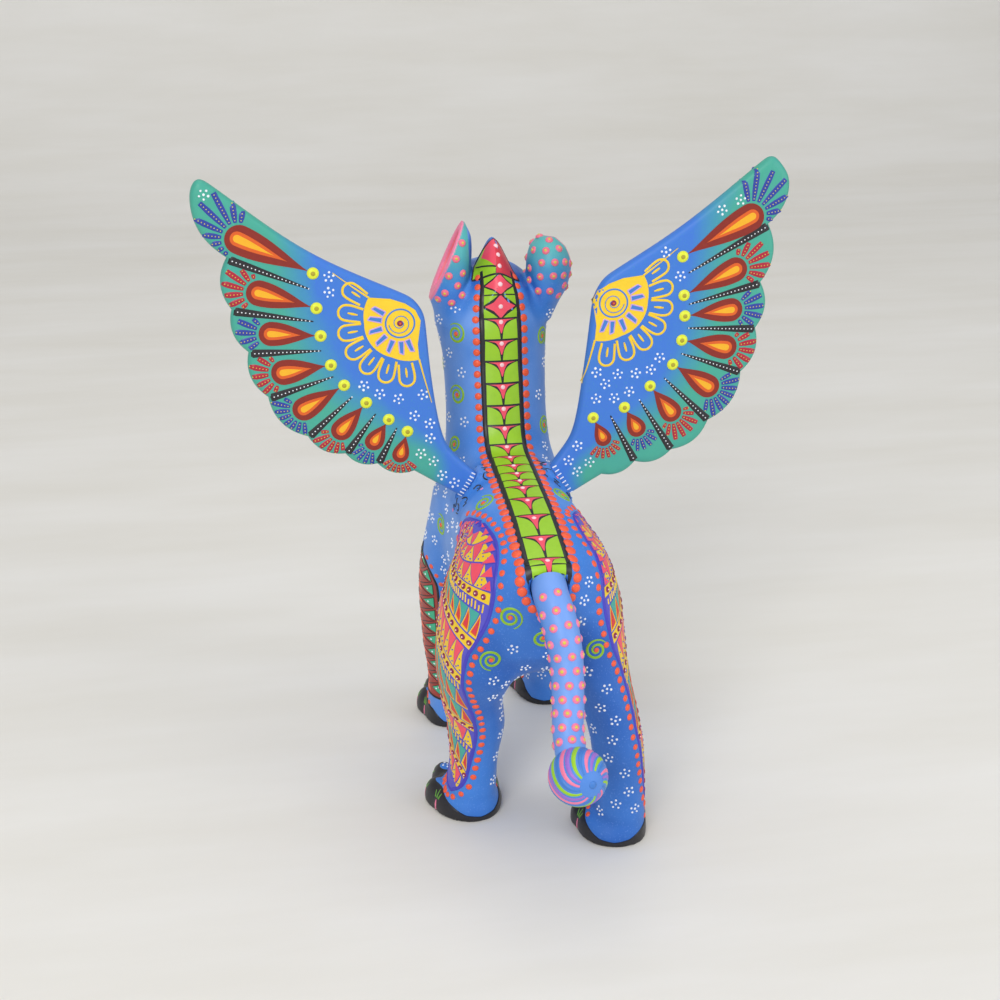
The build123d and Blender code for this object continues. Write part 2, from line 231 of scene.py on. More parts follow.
def head_field(x, y, z, field):
    """Adds muzzle, brows, cheeks, chin and crest to the neck, and carves eyes, nose and mouth."""
    field = join(field, ball(x, y, z, (0.5, -64.0, 159.5), (16.5, 14.0, 12.0)), 5.0)
    field = join(field, ball(x, y, z, (0.5, -74.5, 155.0), (8.4, 10.0, 7.2)), 5.0)
    for side in (1, -1):
        field = join(field, ball(x, y, z, (0.5 + side * 4.4, -80.0, 152.6), (4.6, 4.2, 4.3)), 1.6)
        field = join(field, ball(x, y, z, (0.5 + side * 8.2, -71.5, 165.6), (5.0, 4.0, 2.2)), 2.2)
        field = join(field, ball(x, y, z, (0.5 + side * 11.5, -66.0, 151.0), (6.0, 7.0, 6.0)), 4.0)
        field = cut(field, ball(x, y, z, (0.5 + side * 9.3, -79.2, 161.5), (4.2, 4.2, 3.4)), 1.6)
        field = join(field, ball(x, y, z, (0.5 + side * 8.6, -74.2, 161.4), (3.4, 3.2, 2.6)), 0.6)
    field = join(field, ball(x, y, z, (0.5, -78.0, 147.6), (4.4, 4.4, 3.0)), 1.4)
    field = join(field, ball(x, y, z, (0.5, -83.2, 156.2), (2.9, 2.0, 1.9)), 0.8)
    mouth = np.maximum(np.abs(z - 149.9 - 0.08 * np.abs(x - 0.5)) - 0.45, -(y + 90))
    field = cut(field, np.maximum(mouth, np.hypot(x - 0.5, y + 84) - 8.0), 0.5)
    keel_rise = 184.2 - 0.085 * (y + 50.0) ** 2
    keel = np.maximum(
        np.hypot(x - 0.5, 1.5) * 0.91 + (z - keel_rise - 2.4) * 0.42,
        np.maximum(160.0 - z, np.abs(y + 51.0) - 14.0),
    )
    return join(field, keel, 1.6)


EAR_STATIONS = {
    1: (
        (14.2, -50.5, 155.0, 5.4, 6.6),
        (15.0, -50.5, 160.5, 6.2, 7.6),
        (15.8, -50.5, 168.0, 7.6, 9.6),
        (15.2, -50.5, 176.0, 7.4, 9.8),
        (13.4, -50.5, 183.5, 5.6, 7.8),
        (11.9, -50.5, 188.8, 2.0, 3.0),
    ),
    -1: (
        (14.4, -50.5, 155.0, 5.4, 6.6),
        (16.0, -50.5, 160.5, 6.4, 7.6),
        (18.2, -50.5, 167.0, 7.4, 9.2),
        (19.0, -50.5, 173.5, 7.6, 9.8),
        (18.8, -50.5, 179.5, 6.2, 8.2),
        (18.4, -50.5, 183.0, 2.8, 3.8),
    ),
}
EAR_RIMS = {1: (16.4, -50.5, 176.5), -1: (20.2, -53.0, 173.5)}
EAR_AIMS = {
    1: np.array((0.90, -0.10, 0.40)) / np.linalg.norm((0.90, -0.10, 0.40)),
    -1: np.array((0.66, -0.70, 0.28)) / np.linalg.norm((0.66, -0.70, 0.28)),
}
CUP_RADII = {1: (6.4, 10.4, 5.2), -1: (5.4, 8.0, 4.6)}  # half-width, half-height, depth


def ear_field(x, y, z, side):
    """An upright egg; its outer side is cut off by the rim's plane elsewhere."""
    return limb_field(x * side, y, z, EAR_STATIONS[side], 2.0)


def rim_depth(x, y, z, side):
    """Distance in front of the ear's rim plane."""
    px, py, pz = EAR_RIMS[side]
    nx, ny, nz = EAR_AIMS[side]
    return (x * side - px) * nx + (y - py) * ny + (z - pz) * nz


def cup_field(x, y, z, side):
    """The ear's hollow, an oval bowl behind the rim's plane."""
    px, py, pz = EAR_RIMS[side]
    n = EAR_AIMS[side]
    across = np.cross((0, 0, 1), n) / np.linalg.norm(np.cross((0, 0, 1), n))
    up = np.cross(n, across)
    d = (x * side - px, y - py, z - pz)
    wide, high, deep = CUP_RADII[side]
    a = sum(c * k for c, k in zip(d, across)) / wide
    b = (sum(c * k for c, k in zip(d, up)) - 0.5) / high
    c = sum(c * k for c, k in zip(d, n)) / deep
    return (np.sqrt(a * a + b * b + c * c) - 1) * deep


def ear_zone(x, y, z):
    """The part of the head that belongs to the two ears: above their seats, beside the crown."""
    return np.maximum(161.0 - z, np.maximum(8.2 - np.abs(x), np.abs(y + 50.5) - 11.0))


def with_ears(x, y, z, field):
    for side in (1, -1):
        ear = np.maximum(ear_field(x, y, z, side), rim_depth(x, y, z, side))
        field = join(field, ear, 2.6)
        field = cut(field, cup_field(x, y, z, side), 0.5)
    return field


ROOTS = {  # lower and upper corner of each wing's cut end, as (x, z)
    "left_wing": ((12.2, 105.6), (7.2, 113.6)),
    "right_wing": ((-23.8, 104.0), (-17.5, 114.5)),
}


def root_frame(name):
    """Middle of a wing's cut end, its way up, and its way out of the body."""
    low, high = (np.array((p[0], WING_Y, p[1])) for p in ROOTS[name])
    up = (high - low) / np.linalg.norm(high - low)
    out = np.array((up[2], 0, -up[0])) * (1 if name == "left_wing" else -1)
    return (low + high) / 2, up, out


def wing_seat(x, y, z, name, field):
    """A pad under the wing's cut end, with a flat floor."""
    middle, up, out = root_frame(name)
    d = (x + SPINE - middle[0], y - middle[1], z - middle[2])
    a = sum(c * k for c, k in zip(d, up))
    o = sum(c * k for c, k in zip(d, out))
    pad = np.maximum(np.maximum(np.abs(a) - 6.0, np.abs(d[1]) - 3.2), np.maximum(o, -8 - o))
    field = join(field, pad, 3.0)
    slot = np.maximum(np.maximum(np.abs(a) - 9.0, np.abs(d[1]) - 3.6), -0.15 - o)
    return np.maximum(field, -slot)


def carving_field(x, y, z):
    """The whole carving with its ears; x counts from the spine."""
    field = torso_field(x, y, z)
    field = join(field, limb_field(x, y, z, NECK), 7.0)
    for stations, blend in ((LEFT_HIND, 5.0), (RIGHT_HIND, 5.0), (LEFT_FORE, 6.0), (RIGHT_FORE, 6.0)):
        field = join(field, limb_field(x, y, z, stations), blend)
    field = head_field(x, y, z, field)
    for paw in PAWS.values():
        field = join(field, paw_field(x, y, z, paw), 1.6)
    field = np.maximum(field, -z)
    for name in ROOTS:
        field = wing_seat(x, y, z, name, field)
    d = (x + SPINE - TAIL_ROOT[0], y - TAIL_ROOT[1], z - TAIL_ROOT[2])
    o = sum(c * k for c, k in zip(d, TAIL_AIM))
    r = np.sqrt(np.maximum(sum(c * c for c in d) - o * o, 0))
    return np.maximum(field, -np.maximum(r - 5.85, -0.15 - o))


# ---------------------------------------------------------------------------------------------
# Meshes from fields
# ---------------------------------------------------------------------------------------------
def field_mesh(field_at, low, high, step):
    """Surface nets: one vertex in each cell that the surface crosses, pulled onto the surface."""
    axes = [np.arange(a, b + step, step) for a, b in zip(low, high)]
    values = np.empty([len(a) for a in axes], np.float32)
    gy, gz = np.meshgrid(axes[1], axes[2], indexing="ij")
    for i, gx in enumerate(axes[0]):
        values[i] = field_at(np.full_like(gy, gx), gy, gz)
    inside = values < 0
    corners = [(a, b, c) for a in (0, 1) for b in (0, 1) for c in (0, 1)]
    size = [n - 1 for n in values.shape]
    count = np.zeros(size, np.int8)
    for a, b, c in corners:
        count += inside[a : a + size[0], b : b + size[1], c : c + size[2]]
    cells = np.argwhere((count > 0) & (count < 8))
    number = np.full(size, -1, np.int64)
    number[tuple(cells.T)] = np.arange(len(cells))
    total, hits = np.zeros((len(cells), 3)), np.zeros(len(cells))
    for a in corners:
        for axis in range(3):
            if a[axis]:
                continue
            b = tuple(c + (k == axis) for k, c in enumerate(a))
            va, vb = (values[tuple((cells + c).T)] for c in (a, b))
            crossed = (va < 0) != (vb < 0)
            t = np.where(crossed, va / np.where(crossed, va - vb, 1), 0)
            place = cells + np.array(a, float)
            place[:, axis] += t
            total += place * crossed[:, None]
            hits += crossed
    points = np.array(low) + total / hits[:, None] * step
    faces = []
    for axis in range(3):
        u, v = (axis + 1) % 3, (axis + 2) % 3
        ends = [slice(1, -1)] * 3
        ends[axis] = slice(0, -1)
        nexts = list(ends)
        nexts[axis] = slice(1, None)
        first, second = inside[tuple(ends)], inside[tuple(nexts)]
        for outwards in (True, False):
            edge = np.argwhere(first & ~second if outwards else ~first & second)
            edge += [0 if k == axis else 1 for k in range(3)]
            ring = []
            for du, dv in ((0, 0), (1, 0), (1, 1), (0, 1)):
                cell = edge.copy()
                cell[:, u] -= 1 - du
                cell[:, v] -= 1 - dv
                ring.append(number[tuple(cell.T)])
            quad = np.stack(ring, 1)
            faces.append(quad if outwards else quad[:, ::-1])
    return pull_to_surface(points, field_at, step), np.concatenate(faces)


def slope(points, field_at, step=0.25):
    """Unit gradient of a field."""
    g = np.empty_like(points)
    for k in range(3):
        d = np.zeros(3)
        d[k] = step
        g[:, k] = field_at(*(points + d).T) - field_at(*(points - d).T)
    return g / np.maximum(np.linalg.norm(g, axis=1), 1e-9)[:, None]


def pull_to_surface(points, field_at, step):
    """Moves each vertex towards the surface, by no more than half a cell."""
    for _ in range(2):
        value = field_at(*points.T)
        points = points - slope(points, field_at) * np.clip(value, -step / 2, step / 2)[:, None] * 0.8
    return points


def mesh_object(name, points, faces, material, body, node=None, smooth=True):
    """A piece from points in millimetres."""
    mesh = bpy.data.meshes.new(name)
    mesh.from_pydata([tuple(p) for p in np.asarray(points) * MM], [], [list(map(int, f)) for f in faces])
    mesh.validate()
    mesh.update()
    if smooth:
        mesh.polygons.foreach_set("use_smooth", [True] * len(mesh.polygons))
    obj = bpy.data.objects.new(name, mesh)
    bpy.context.scene.collection.objects.link(obj)
    mesh.materials.append(material)
    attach(obj, body)
    if node:
        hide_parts(node)
    return obj


# ---------------------------------------------------------------------------------------------
# Materials
# ---------------------------------------------------------------------------------------------
def srgb(code):
    """A colour written as hexadecimal sRGB, as linear values."""
    values = [int(code[k : k + 2], 16) / 255 for k in (0, 2, 4)]
    return [v / 12.92 if v <= 0.04045 else ((v + 0.055) / 1.055) ** 2.4 for v in values] + [1.0]


class Nodes:
    """A short way of writing a node tree."""

    def __init__(self, name, roughness=0.42, coat=0.0):
        self.material = bpy.data.materials.new(name)
        self.material.use_nodes = True
        self.tree = self.material.node_tree
        self.shader = self.tree.nodes["Principled BSDF"]
        self.shader.inputs["Roughness"].default_value = roughness
        self.shader.inputs["Coat Weight"].default_value = coat
        self.shader.inputs["Coat Roughness"].default_value = 0.25
        self.shader.inputs["Specular IOR Level"].default_value = 0.45
        self.place = self.tree.nodes.new("ShaderNodeTexCoord").outputs["Object"]

    def node(self, kind, inputs=None, **settings):
        n = self.tree.nodes.new(kind)
        for key, value in settings.items():
            setattr(n, key, value)
        for key, value in (inputs or {}).items():
            if isinstance(value, bpy.types.NodeSocket):
                self.tree.links.new(value, n.inputs[key])
            else:
                n.inputs[key].default_value = value
        return n

    def noise(self, size_mm, detail=4.0, roughness=0.6, stretch=None):
        place = self.place
        if stretch:
            place = self.node("ShaderNodeMapping", {"Vector": place, "Scale": stretch}).outputs[0]
        inputs = {"Vector": place, "Scale": 1 / (size_mm * MM), "Detail": detail, "Roughness": roughness}
        return self.node("ShaderNodeTexNoise", inputs).outputs["Fac"]

    def ramp(self, factor, stops):
        n = self.node("ShaderNodeValToRGB", {"Fac": factor})
        for k, (at, colour) in enumerate(stops):
            stop = n.color_ramp.elements[k] if k < 2 else n.color_ramp.elements.new(at)
            stop.position = at
            stop.color = colour
        return n.outputs["Color"]

    def mix(self, factor, a, b, blend="MIX"):
        inputs = {"Factor": factor, "A": a, "B": b}
        n = self.node("ShaderNodeMix", data_type="RGBA", blend_type=blend)
        for key, value in inputs.items():
            kind = "VALUE" if key == "Factor" else "RGBA"
            socket = next(s for s in n.inputs if s.name == key and s.type == kind)
            if isinstance(value, bpy.types.NodeSocket):
                self.tree.links.new(value, socket)
            else:
                socket.default_value = value
        return next(s for s in n.outputs if s.type == "RGBA")

    def math(self, operation, a, b=0.5, clamp=False):
        n = self.node("ShaderNodeMath", operation=operation, use_clamp=clamp)
        for key, value in enumerate((a, b)):
            if isinstance(value, bpy.types.NodeSocket):
                self.tree.links.new(value, n.inputs[key])
            else:
                n.inputs[key].default_value = value
        return n.outputs[0]

    def colour(self, value):
        if isinstance(value, bpy.types.NodeSocket):
            self.tree.links.new(value, self.shader.inputs["Base Color"])
        else:
            self.shader.inputs["Base Color"].default_value = value
        return self

    def bump(self, height, depth_mm, strength=1.0):
        n = self.node("ShaderNodeBump", {"Height": height, "Distance": depth_mm * MM, "Strength": strength})
        self.tree.links.new(n.outputs[0], self.shader.inputs["Normal"])
        return self

    def rough(self, factor, low, high):
        n = self.node("ShaderNodeMapRange", {"Value": factor, "To Min": low, "To Max": high})
        self.tree.links.new(n.outputs[0], self.shader.inputs["Roughness"])
        return self


def attribute(nodes, name):
    return nodes.node("ShaderNodeAttribute", attribute_name=name).outputs["Fac"]


def ramped_base_paint(name, dark, middle, light, roughness=0.45, teal=False):
    """Base paint: a soft blend of three colours set by the piece's own shade attribute, which on the carving,
    tail and ears is painted shade in hollows and painted light on top, and on the wings the paint's own
    blue-to-teal tone; with fine spatter.
    """
    n = Nodes(name, roughness)
    soft = n.noise(16.0, 2.0)
    # On the carving, tail and ears the shade attribute is painted shade and painted light; soft noise loosens
    # it.
    shade = n.math("ADD", attribute(n, "shade"), n.math("MULTIPLY", n.math("SUBTRACT", soft, 0.5), 0.35))
    blend = n.ramp(shade, ((0.0, srgb(dark)), (0.5, srgb(middle)), (1.0, srgb(light))))
    spatter = n.math("GREATER_THAN", n.noise(0.55, 1.0), 0.66)
    blend = n.mix(n.math("MULTIPLY", spatter, 0.18), blend, srgb(light))
    grain = n.noise(1.3, 5.0, 0.65, (1.0, 1.0, 0.12))
    blend = n.mix(n.math("MULTIPLY", grain, 0.10), blend, srgb(dark))
    if teal:
        blend = n.mix(attribute(n, "teal"), blend, srgb("4fb3a6"))
        blend = n.mix(attribute(n, "inner"), blend, srgb("ee6f84"))
        # Painted shade: dark plum towards the bottom of each ear's cup.
        blend = n.mix(attribute(n, "deep"), blend, srgb("4a2060"))
        blend = n.mix(attribute(n, "rim"), blend, srgb("f07fa4"))
    n.colour(blend)
    n.rough(n.noise(3.0), roughness - 0.08, roughness + 0.12)
    return n.bump(grain, 0.05, 0.6).material


def acrylic(name, colour, second_tone=None, roughness=0.38, coat=0.1):
    """Opaque acrylic paint put on with a brush: slight unevenness of colour and thickness."""
    n = Nodes(name, roughness, coat)
    # The second colour is the paint's own uneven tone, mixed in by noise.
    base, other = srgb(colour), srgb(second_tone or colour)
    if not second_tone:
        other = [c * 0.78 for c in base[:3]] + [1.0]
    n.colour(n.mix(n.math("MULTIPLY", n.noise(2.2, 3.0), 0.7), base, other))
    n.rough(n.noise(1.1), roughness - 0.06, roughness + 0.14)
    return n.bump(n.noise(0.7, 3.0), 0.03, 0.5).material


# Each paint: its colour and a second tone for its unevenness.
PAINT = {
    "black": ("16151a", "2b2a30"),
    "white": ("f2f5fa", "dfe6f2"),
    "lime": ("9fd024", "86bb1e"),
    "coral": ("f4566a", "e8405a"),
    "orange": ("f2603a", "e8502f"),
    "red": ("d93a48", "c22a3c"),
    "rosewhite": ("fbd9dd", "f4c3cb"),
    "indigo": ("3a35b0", "4b46c8"),
    "yellow": ("f2cf2a", "e6b81f"),
    "maroon": ("8a1c50", "74153f"),
    "teal": ("45ab9c", "3a9a92"),
    "spring": ("8fc01a", "7fae18"),
    "brick": ("a63c30", "93302b"),
    "darkred": ("7e1a10", "8e2512"),
    "flame": ("dd6016", "cf5213"),
    "sunny": ("eeb31c", "e6a216"),
    "limon": ("e3ea3c", "d3dd2c"),
    "olive": ("b3a52c", "9c9026"),
    "navy": ("2a3fa0", "23358c"),
    "pink": ("f083a6", "ea6d96"),
    "rose": ("f07a92", "e8637f"),
    "green": ("63a532", "55952c"),
    "straw": ("d8c84a", "c9b83c"),
    "lavender": ("c9a6e0", "b78fd4"),
    "iris": ("5a55c8", "4a46b8"),
    "mint": ("3fb98a", "36a57c"),
    "crimson": ("b01c36", "98182f"),
    "azure": ("3f7fd0", "3671bf"),
    "plumlight": ("a06fd0", "8f5fc2"),
}
PAINTS = {key: acrylic("paint_" + key, *codes) for key, codes in PAINT.items()}
# The carving's, ears' and tail's blues carry painted shade and painted light; the wing's ramp is its paint's
# own blue to teal.
BODY_BLUE = ramped_base_paint("body_blue", "1f5cb4", "4083da", "8db6f7", teal=True)
WING_BLUE = ramped_base_paint("wing_paint", "3a75d0", "3d90b0", "42a68c")
TAIL_BLUE = ramped_base_paint("tail_blue", "3a70c6", "5088d8", "749fe8")
WOOD_NODES = Nodes("bare_wood", 0.6)
WOOD_GRAIN = WOOD_NODES.noise(0.8, 6.0, 0.7, (1.0, 1.0, 0.1))
WOOD_NODES.colour(WOOD_NODES.ramp(WOOD_GRAIN, ((0.3, srgb("b08a58")), (0.7, srgb("dcbd8c")))))
BARE_WOOD = WOOD_NODES.bump(WOOD_GRAIN, 0.05).material


def set_attribute(obj, name, values):
    obj.data.attributes.new(name, "FLOAT", "POINT").data.foreach_set("value", np.asarray(values, np.float32))


# ---------------------------------------------------------------------------------------------
# The carving and the ears
# ---------------------------------------------------------------------------------------------
def at_spine(x, y, z):
    return with_ears(x - SPINE, y, z, carving_field(x - SPINE, y, z))


def body_only(x, y, z):
    """The carving without its ears; it runs a millimetre under them, so that no seam shows."""
    return np.maximum(at_spine(x, y, z), -1.0 - ear_zone(x - SPINE, y, z))


def one_ear(side):
    def field(x, y, z):
        zone = np.maximum(ear_zone(x - SPINE, y, z), -side * (x - SPINE))
        return np.maximum(at_spine(x, y, z), zone)

    return field


def shade_of(points, field_at, reach=6.0):
    """Painted light on full rounded forms and on top, painted shade in hollows, and darker towards the rump.
    """
    normals = slope(points, field_at)
    open_air = np.minimum(field_at(*(points + normals * reach).T) / reach, 0.96)
    rump = np.clip((points[:, 1] - 8.0) / 24.0, 0, 1)
    # Painted shade where little open air lies above the surface, painted light on upward faces.
    return np.clip(0.5 + 1.0 * (open_air - 0.82) + 0.16 * normals[:, 2] - 0.34 * rump, 0, 1), normals


body_points, body_faces = field_mesh(body_only, (-44.5, -91.5, -0.8), (29.0, 51.0, 184.0), VOXEL)


def step_up(values, low, high):
    t = np.clip((values - low) / (high - low), 0, 1)
    return t * t * (3 - 2 * t)


def ear_colours(obj, points):
    """Teal towards an ear's tip, a pink rim, coral inside it, and dark plum at the bottom of the cup as
    painted shade in the hollow.
    """
    x, y, z = points[:, 0] - SPINE, points[:, 1], points[:, 2]
    teal, inner, deep, rim = (np.zeros(len(points)) for _ in range(4))
    for s in (1, -1):
        here = (x * s > 9.5) & (z > 160.0)
        egg, depth = ear_field(x, y, z, s), rim_depth(x, y, z, s)
        cup = cup_field(x, y, z, s)
        teal = np.where(here, 0.85 * step_up(z, 166.0, 182.0), teal)
        inner = np.where(here, step_up(-np.abs(cup), -0.9, -0.4) * step_up(-depth, 0.2, 0.8), inner)
        # Painted shade: the cup turns dark plum towards its bottom.
        deep = np.where(here, inner * step_up(-depth, 3.0, 6.0), deep)
        rim = np.where(here, step_up(-np.abs(depth), -0.9, -0.5) * step_up(-egg, -0.8, 0.0), rim)
    for name, values in (("teal", teal), ("inner", inner), ("deep", deep), ("rim", rim)):
        set_attribute(obj, name, values)


body = mesh_object("carving_body", body_points, body_faces, BODY_BLUE, "carving", "body")
# Painted shade in hollows and painted light on top of the carving.
set_attribute(body, "shade", shade_of(body_points, at_spine)[0])
ear_colours(body, body_points)
ear_meshes = {}
for ear_name, ear_side in (("left_ear", 1), ("right_ear", -1)):
    middle = SPINE + ear_side * 17.0
    low, high = (middle - 10.5, -63.5, 159.6), (middle + 10.5, -38.0, 192.0)
    points, faces = field_mesh(one_ear(ear_side), low, high, 0.5)
    ear = mesh_object(ear_name + "_carved", points, faces, BODY_BLUE, "carving", ear_name)
    # Painted shade in hollows and painted light on top of the ear.
    set_attribute(ear, "shade", shade_of(points, at_spine)[0])
    ear_colours(ear, points)
    ear_meshes[ear_name] = (points, faces)

# ---------------------------------------------------------------------------------------------
# The wings
# ---------------------------------------------------------------------------------------------
WINGS = {
    "left_wing": {
        "notches": (
            (94.7, 211.5),
            (84.9, 189.0),
            (84.2, 172.5),
            (79.6, 158.5),
            (74.1, 143.4),
            (62.1, 129.6),
            (50.2, 123.0),
            (39.9, 118.9),
            (27.9, 115.7),
        ),
        "front": (
            (7.2, 113.6),
            (17.7, 125.7),
            (21.5, 146.0),
            (23.6, 168.5),
            (27.0, 173.6),
            (58.8, 189.4),
            (92.4, 214.7),
        ),
    },
    "right_wing": {
        "notches": (
            (-94.6, 209.3),
            (-88.6, 193.1),
            (-87.0, 174.0),
            (-86.0, 158.6),
            (-81.7, 143.8),
            (-71.1, 127.5),
            (-58.8, 117.8),
            (-46.3, 114.4),
            (-35.0, 110.5),
        ),
        "front": (
            (-17.5, 114.5),
            (-25.2, 126.5),
            (-28.6, 148.0),
            (-31.2, 171.5),
            (-34.5, 177.4),
            (-59.7, 193.1),
            (-89.1, 215.9),
        ),
    },
}
FEATHER_BULGE = 0.16
WING_EDGE = 1.7


def through(points, spacing=0.8):
    """A smooth line through the points, sampled evenly."""
    points = np.array(points, float)
    run = np.concatenate(([0], np.cumsum(np.linalg.norm(np.diff(points, axis=0), axis=1))))
    at = np.linspace(0, run[-1], max(int(run[-1] / spacing), 2) + 1)
    return smooth_curve(np.column_stack((run, points)), at)


def feather_end(start, end, side, spacing=0.7):
    """The rounded end of one feather, from notch to notch."""
    start, end = np.array(start), np.array(end)
    chord = end - start
    outwards = np.array((-chord[1], chord[0])) * side
    t = np.linspace(0, 1, max(int(np.linalg.norm(chord) / spacing), 4) + 1)
    rise = 4 * t * (1 - t) * FEATHER_BULGE
    return start + t[:, None] * chord + rise[:, None] * outwards


def relax(line, rounds):
    """Rounds the corners of an open line, keeping its ends."""
    for _ in range(rounds):
        line[1:-1] = (line[:-2] + line[1:-1] + line[2:]) / 3
    return line


def wing_outline(name):
    """The wing's outline in its plane, and how many of its last points lie on the cut end."""
    wing, side = WINGS[name], 1 if name == "left_wing" else -1
    front = [through(wing["front"][:4])[:-1], through(wing["front"][3:5])[:-1], through(wing["front"][4:])]
    front.append(through((wing["front"][-1], wing["notches"][0]))[1:])
    front.append(feather_end(wing["notches"][0], wing["notches"][1], side)[1:])
    parts = [relax(np.concatenate(front), 10)]
    for start, end in zip(wing["notches"][1:], wing["notches"][2:]):
        parts.append(feather_end(start, end, side)[1:])
    parts.append(through((wing["notches"][-1], ROOTS[name][0]))[1:])
    cut_end = through(ROOTS[name])[1:-1]
    return np.concatenate(parts + [cut_end]), len(cut_end)


def edge_distance(points, line):
    """Distance from each point to an open line."""
    a, way = line[:-1], np.diff(line, axis=0)
    apart = points[:, None] - a
    share = np.clip((apart * way).sum(-1) / np.maximum((way**2).sum(-1), 1e-12), 0, 1)
    return np.sqrt(((apart - share[..., None] * way) ** 2).sum(-1)).min(1)


def half_thickness(points, name):
    """Half the wing's thickness: full inside, rounded off at the free edges."""
    outline, cut_end = WING_LINES[name]
    d = edge_distance(points, outline[: len(outline) - cut_end])
    round_off = np.sqrt(np.maximum(1 - (1 - np.minimum(d / WING_EDGE, 1)) ** 2, 0))
    return WING_THICKNESS / 2 * round_off


def inside_line(points, line):
    """Whether each point lies inside the closed line."""
    x, y = points[:, None, 0], points[:, None, 1]
    (x1, y1), (x2, y2) = line.T, np.roll(line, -1, axis=0).T
    rise = np.where(y2 == y1, 1e-12, y2 - y1)
    crossed = ((y1 > y) != (y2 > y)) & (x < (x2 - x1) * (y - y1) / rise + x1)
    return crossed.sum(1) % 2 == 1


def triangulate(line, inner):
    """Triangles filling a closed line and passing through the inner points."""
    points = [Vector(p) for p in np.concatenate((line, inner))]
    edges = [(k, (k + 1) % len(line)) for k in range(len(line))]
    made, _, faces, _, _, _ = delaunay_2d_cdt(points, edges, [], 1, 1e-4)
    return np.array([tuple(p) for p in made]), [tuple(f) for f in faces]


def fill_points(line, step, margin):
    """An even grid of points inside a closed line, clear of its edge."""
    low, high = line.min(0), line.max(0)
    grid = np.stack(np.meshgrid(*[np.arange(a + step / 2, b, step) for a, b in zip(low, high)]), -1)
    grid = grid.reshape(-1, 2)
    grid = grid[inside_line(grid, line)]
    if not len(grid):
        return grid
    return grid[edge_distance(grid, np.vstack((line, line[:1]))) > margin]


def wing_mesh(name):
    outline, cut_end = WING_LINES[name]
    free = outline[: len(outline) - cut_end]
    way = np.gradient(free, axis=0)
    inwards = np.stack((way[:, 1], -way[:, 0]), 1)
    inwards /= np.linalg.norm(inwards, axis=1)[:, None]
    if name == "right_wing":
        inwards = -inwards
    rings = []
    for depth in (0.2, 0.6, 1.2):
        ring = free + inwards * depth
        ring = ring[inside_line(ring, outline)]
        rings.append(ring[edge_distance(ring, np.vstack((outline, outline[:1]))) > depth * 0.93])
    inner = np.concatenate(rings + [fill_points(outline, 1.5, 2.0)])
    flat, faces = triangulate(outline, inner)
    half = half_thickness(flat, name)
    half[half < 0.02] = 0
    back = np.column_stack((flat[:, 0], WING_Y + half, flat[:, 1]))
    front = np.column_stack((flat[:, 0], WING_Y - half, flat[:, 1]))
    on_edge = half == 0
    other = np.where(on_edge, np.arange(len(flat)), len(flat) + np.arange(len(flat)))
    area = sum(
        (flat[b][0] - flat[a][0]) * (flat[c][1] - flat[a][1])
        - (flat[c][0] - flat[a][0]) * (flat[b][1] - flat[a][1])
        for a, b, c in faces
    )
    back_faces = [f if area < 0 else f[::-1] for f in faces]
    front_faces = [tuple(other[k] for k in f[::-1]) for f in back_faces]
    counts = {}
    for f in back_faces:
        for a, b in zip(f, f[1:] + f[:1]):
            counts[(a, b)] = 1
    walls = []
    for a, b in counts:
        if (b, a) not in counts and not (on_edge[a] and on_edge[b]):
            walls.append([k for k in dict.fromkeys((b, a, other[a], other[b]))])
    used = np.unique(np.concatenate([np.array(f) for f in back_faces + front_faces + walls]))
    number = {int(k): n for n, k in enumerate(used)}
    points = np.vstack((back, front))[used]
    return points, [[number[int(k)] for k in f] for f in back_faces + front_faces + walls]


WING_LINES = {name: wing_outline(name) for name in WINGS}
WING_MESHES = {name: wing_mesh(name) for name in WINGS}
for wing_name, (points, faces) in WING_MESHES.items():
    wing = mesh_object(wing_name + "_carved", points, faces, WING_BLUE, wing_name, wing_name)
    wing.data.set_sharp_from_angle(angle=math.radians(50))
    # The wing's shade attribute is its paint's own blend: blue towards the front, teal towards the feathers'
    # ends.
    trailing = edge_distance(points[:, [0, 2]], np.array(WINGS[wing_name]["notches"]))
    feather = np.interp(np.abs(points[:, 0] - SPINE), (25, 45, 70, 90), (10, 19, 24, 30))
    set_attribute(wing, "shade", np.clip((1.2 * feather - trailing) / (0.65 * feather), 0, 1))

# ---------------------------------------------------------------------------------------------
# The tail
# ---------------------------------------------------------------------------------------------
TAIL_LINE = (  # x from the spine, y, z, radius
    (0.0, 46.5, 97.8, 5.5),
    (0.0, 49.5, 96.2, 5.5),
    (-0.9, 53.5, 92.3, 5.5),
    (-2.2, 57.6, 85.6, 5.4),
    (-3.0, 60.9, 77.5, 5.1),
    (-2.6, 65.6, 67.0, 4.9),
    (-1.6, 71.0, 58.4, 4.7),
    (-1.7, 76.2, 52.9, 4.8),
)
TUFT_CENTRE = np.array((SPINE - 2.5, 81.2, 50.0))
TUFT_AIM = np.array((-0.32, 0.93, 0.16)) / np.linalg.norm((-0.32, 0.93, 0.16))


def tail_station(s):
    """Middle, radius and way on at a distance along the tail, in millimetres."""
    points = np.array(TAIL_LINE)
    run = np.concatenate(([0], np.cumsum(np.linalg.norm(np.diff(points[:, :3], axis=0), axis=1))))
    table = np.column_stack((run, points))
    here, ahead = smooth_curve(table, np.asarray(s)), smooth_curve(table, np.asarray(s) + 0.3)
    behind = smooth_curve(table, np.asarray(s) - 0.3)
    way = (ahead - behind)[..., :3]
    middle = here[..., :3] + np.array((SPINE, 0, 0))
    return middle, here[..., 3], way / np.linalg.norm(way, axis=-1)[..., None], run[-1]


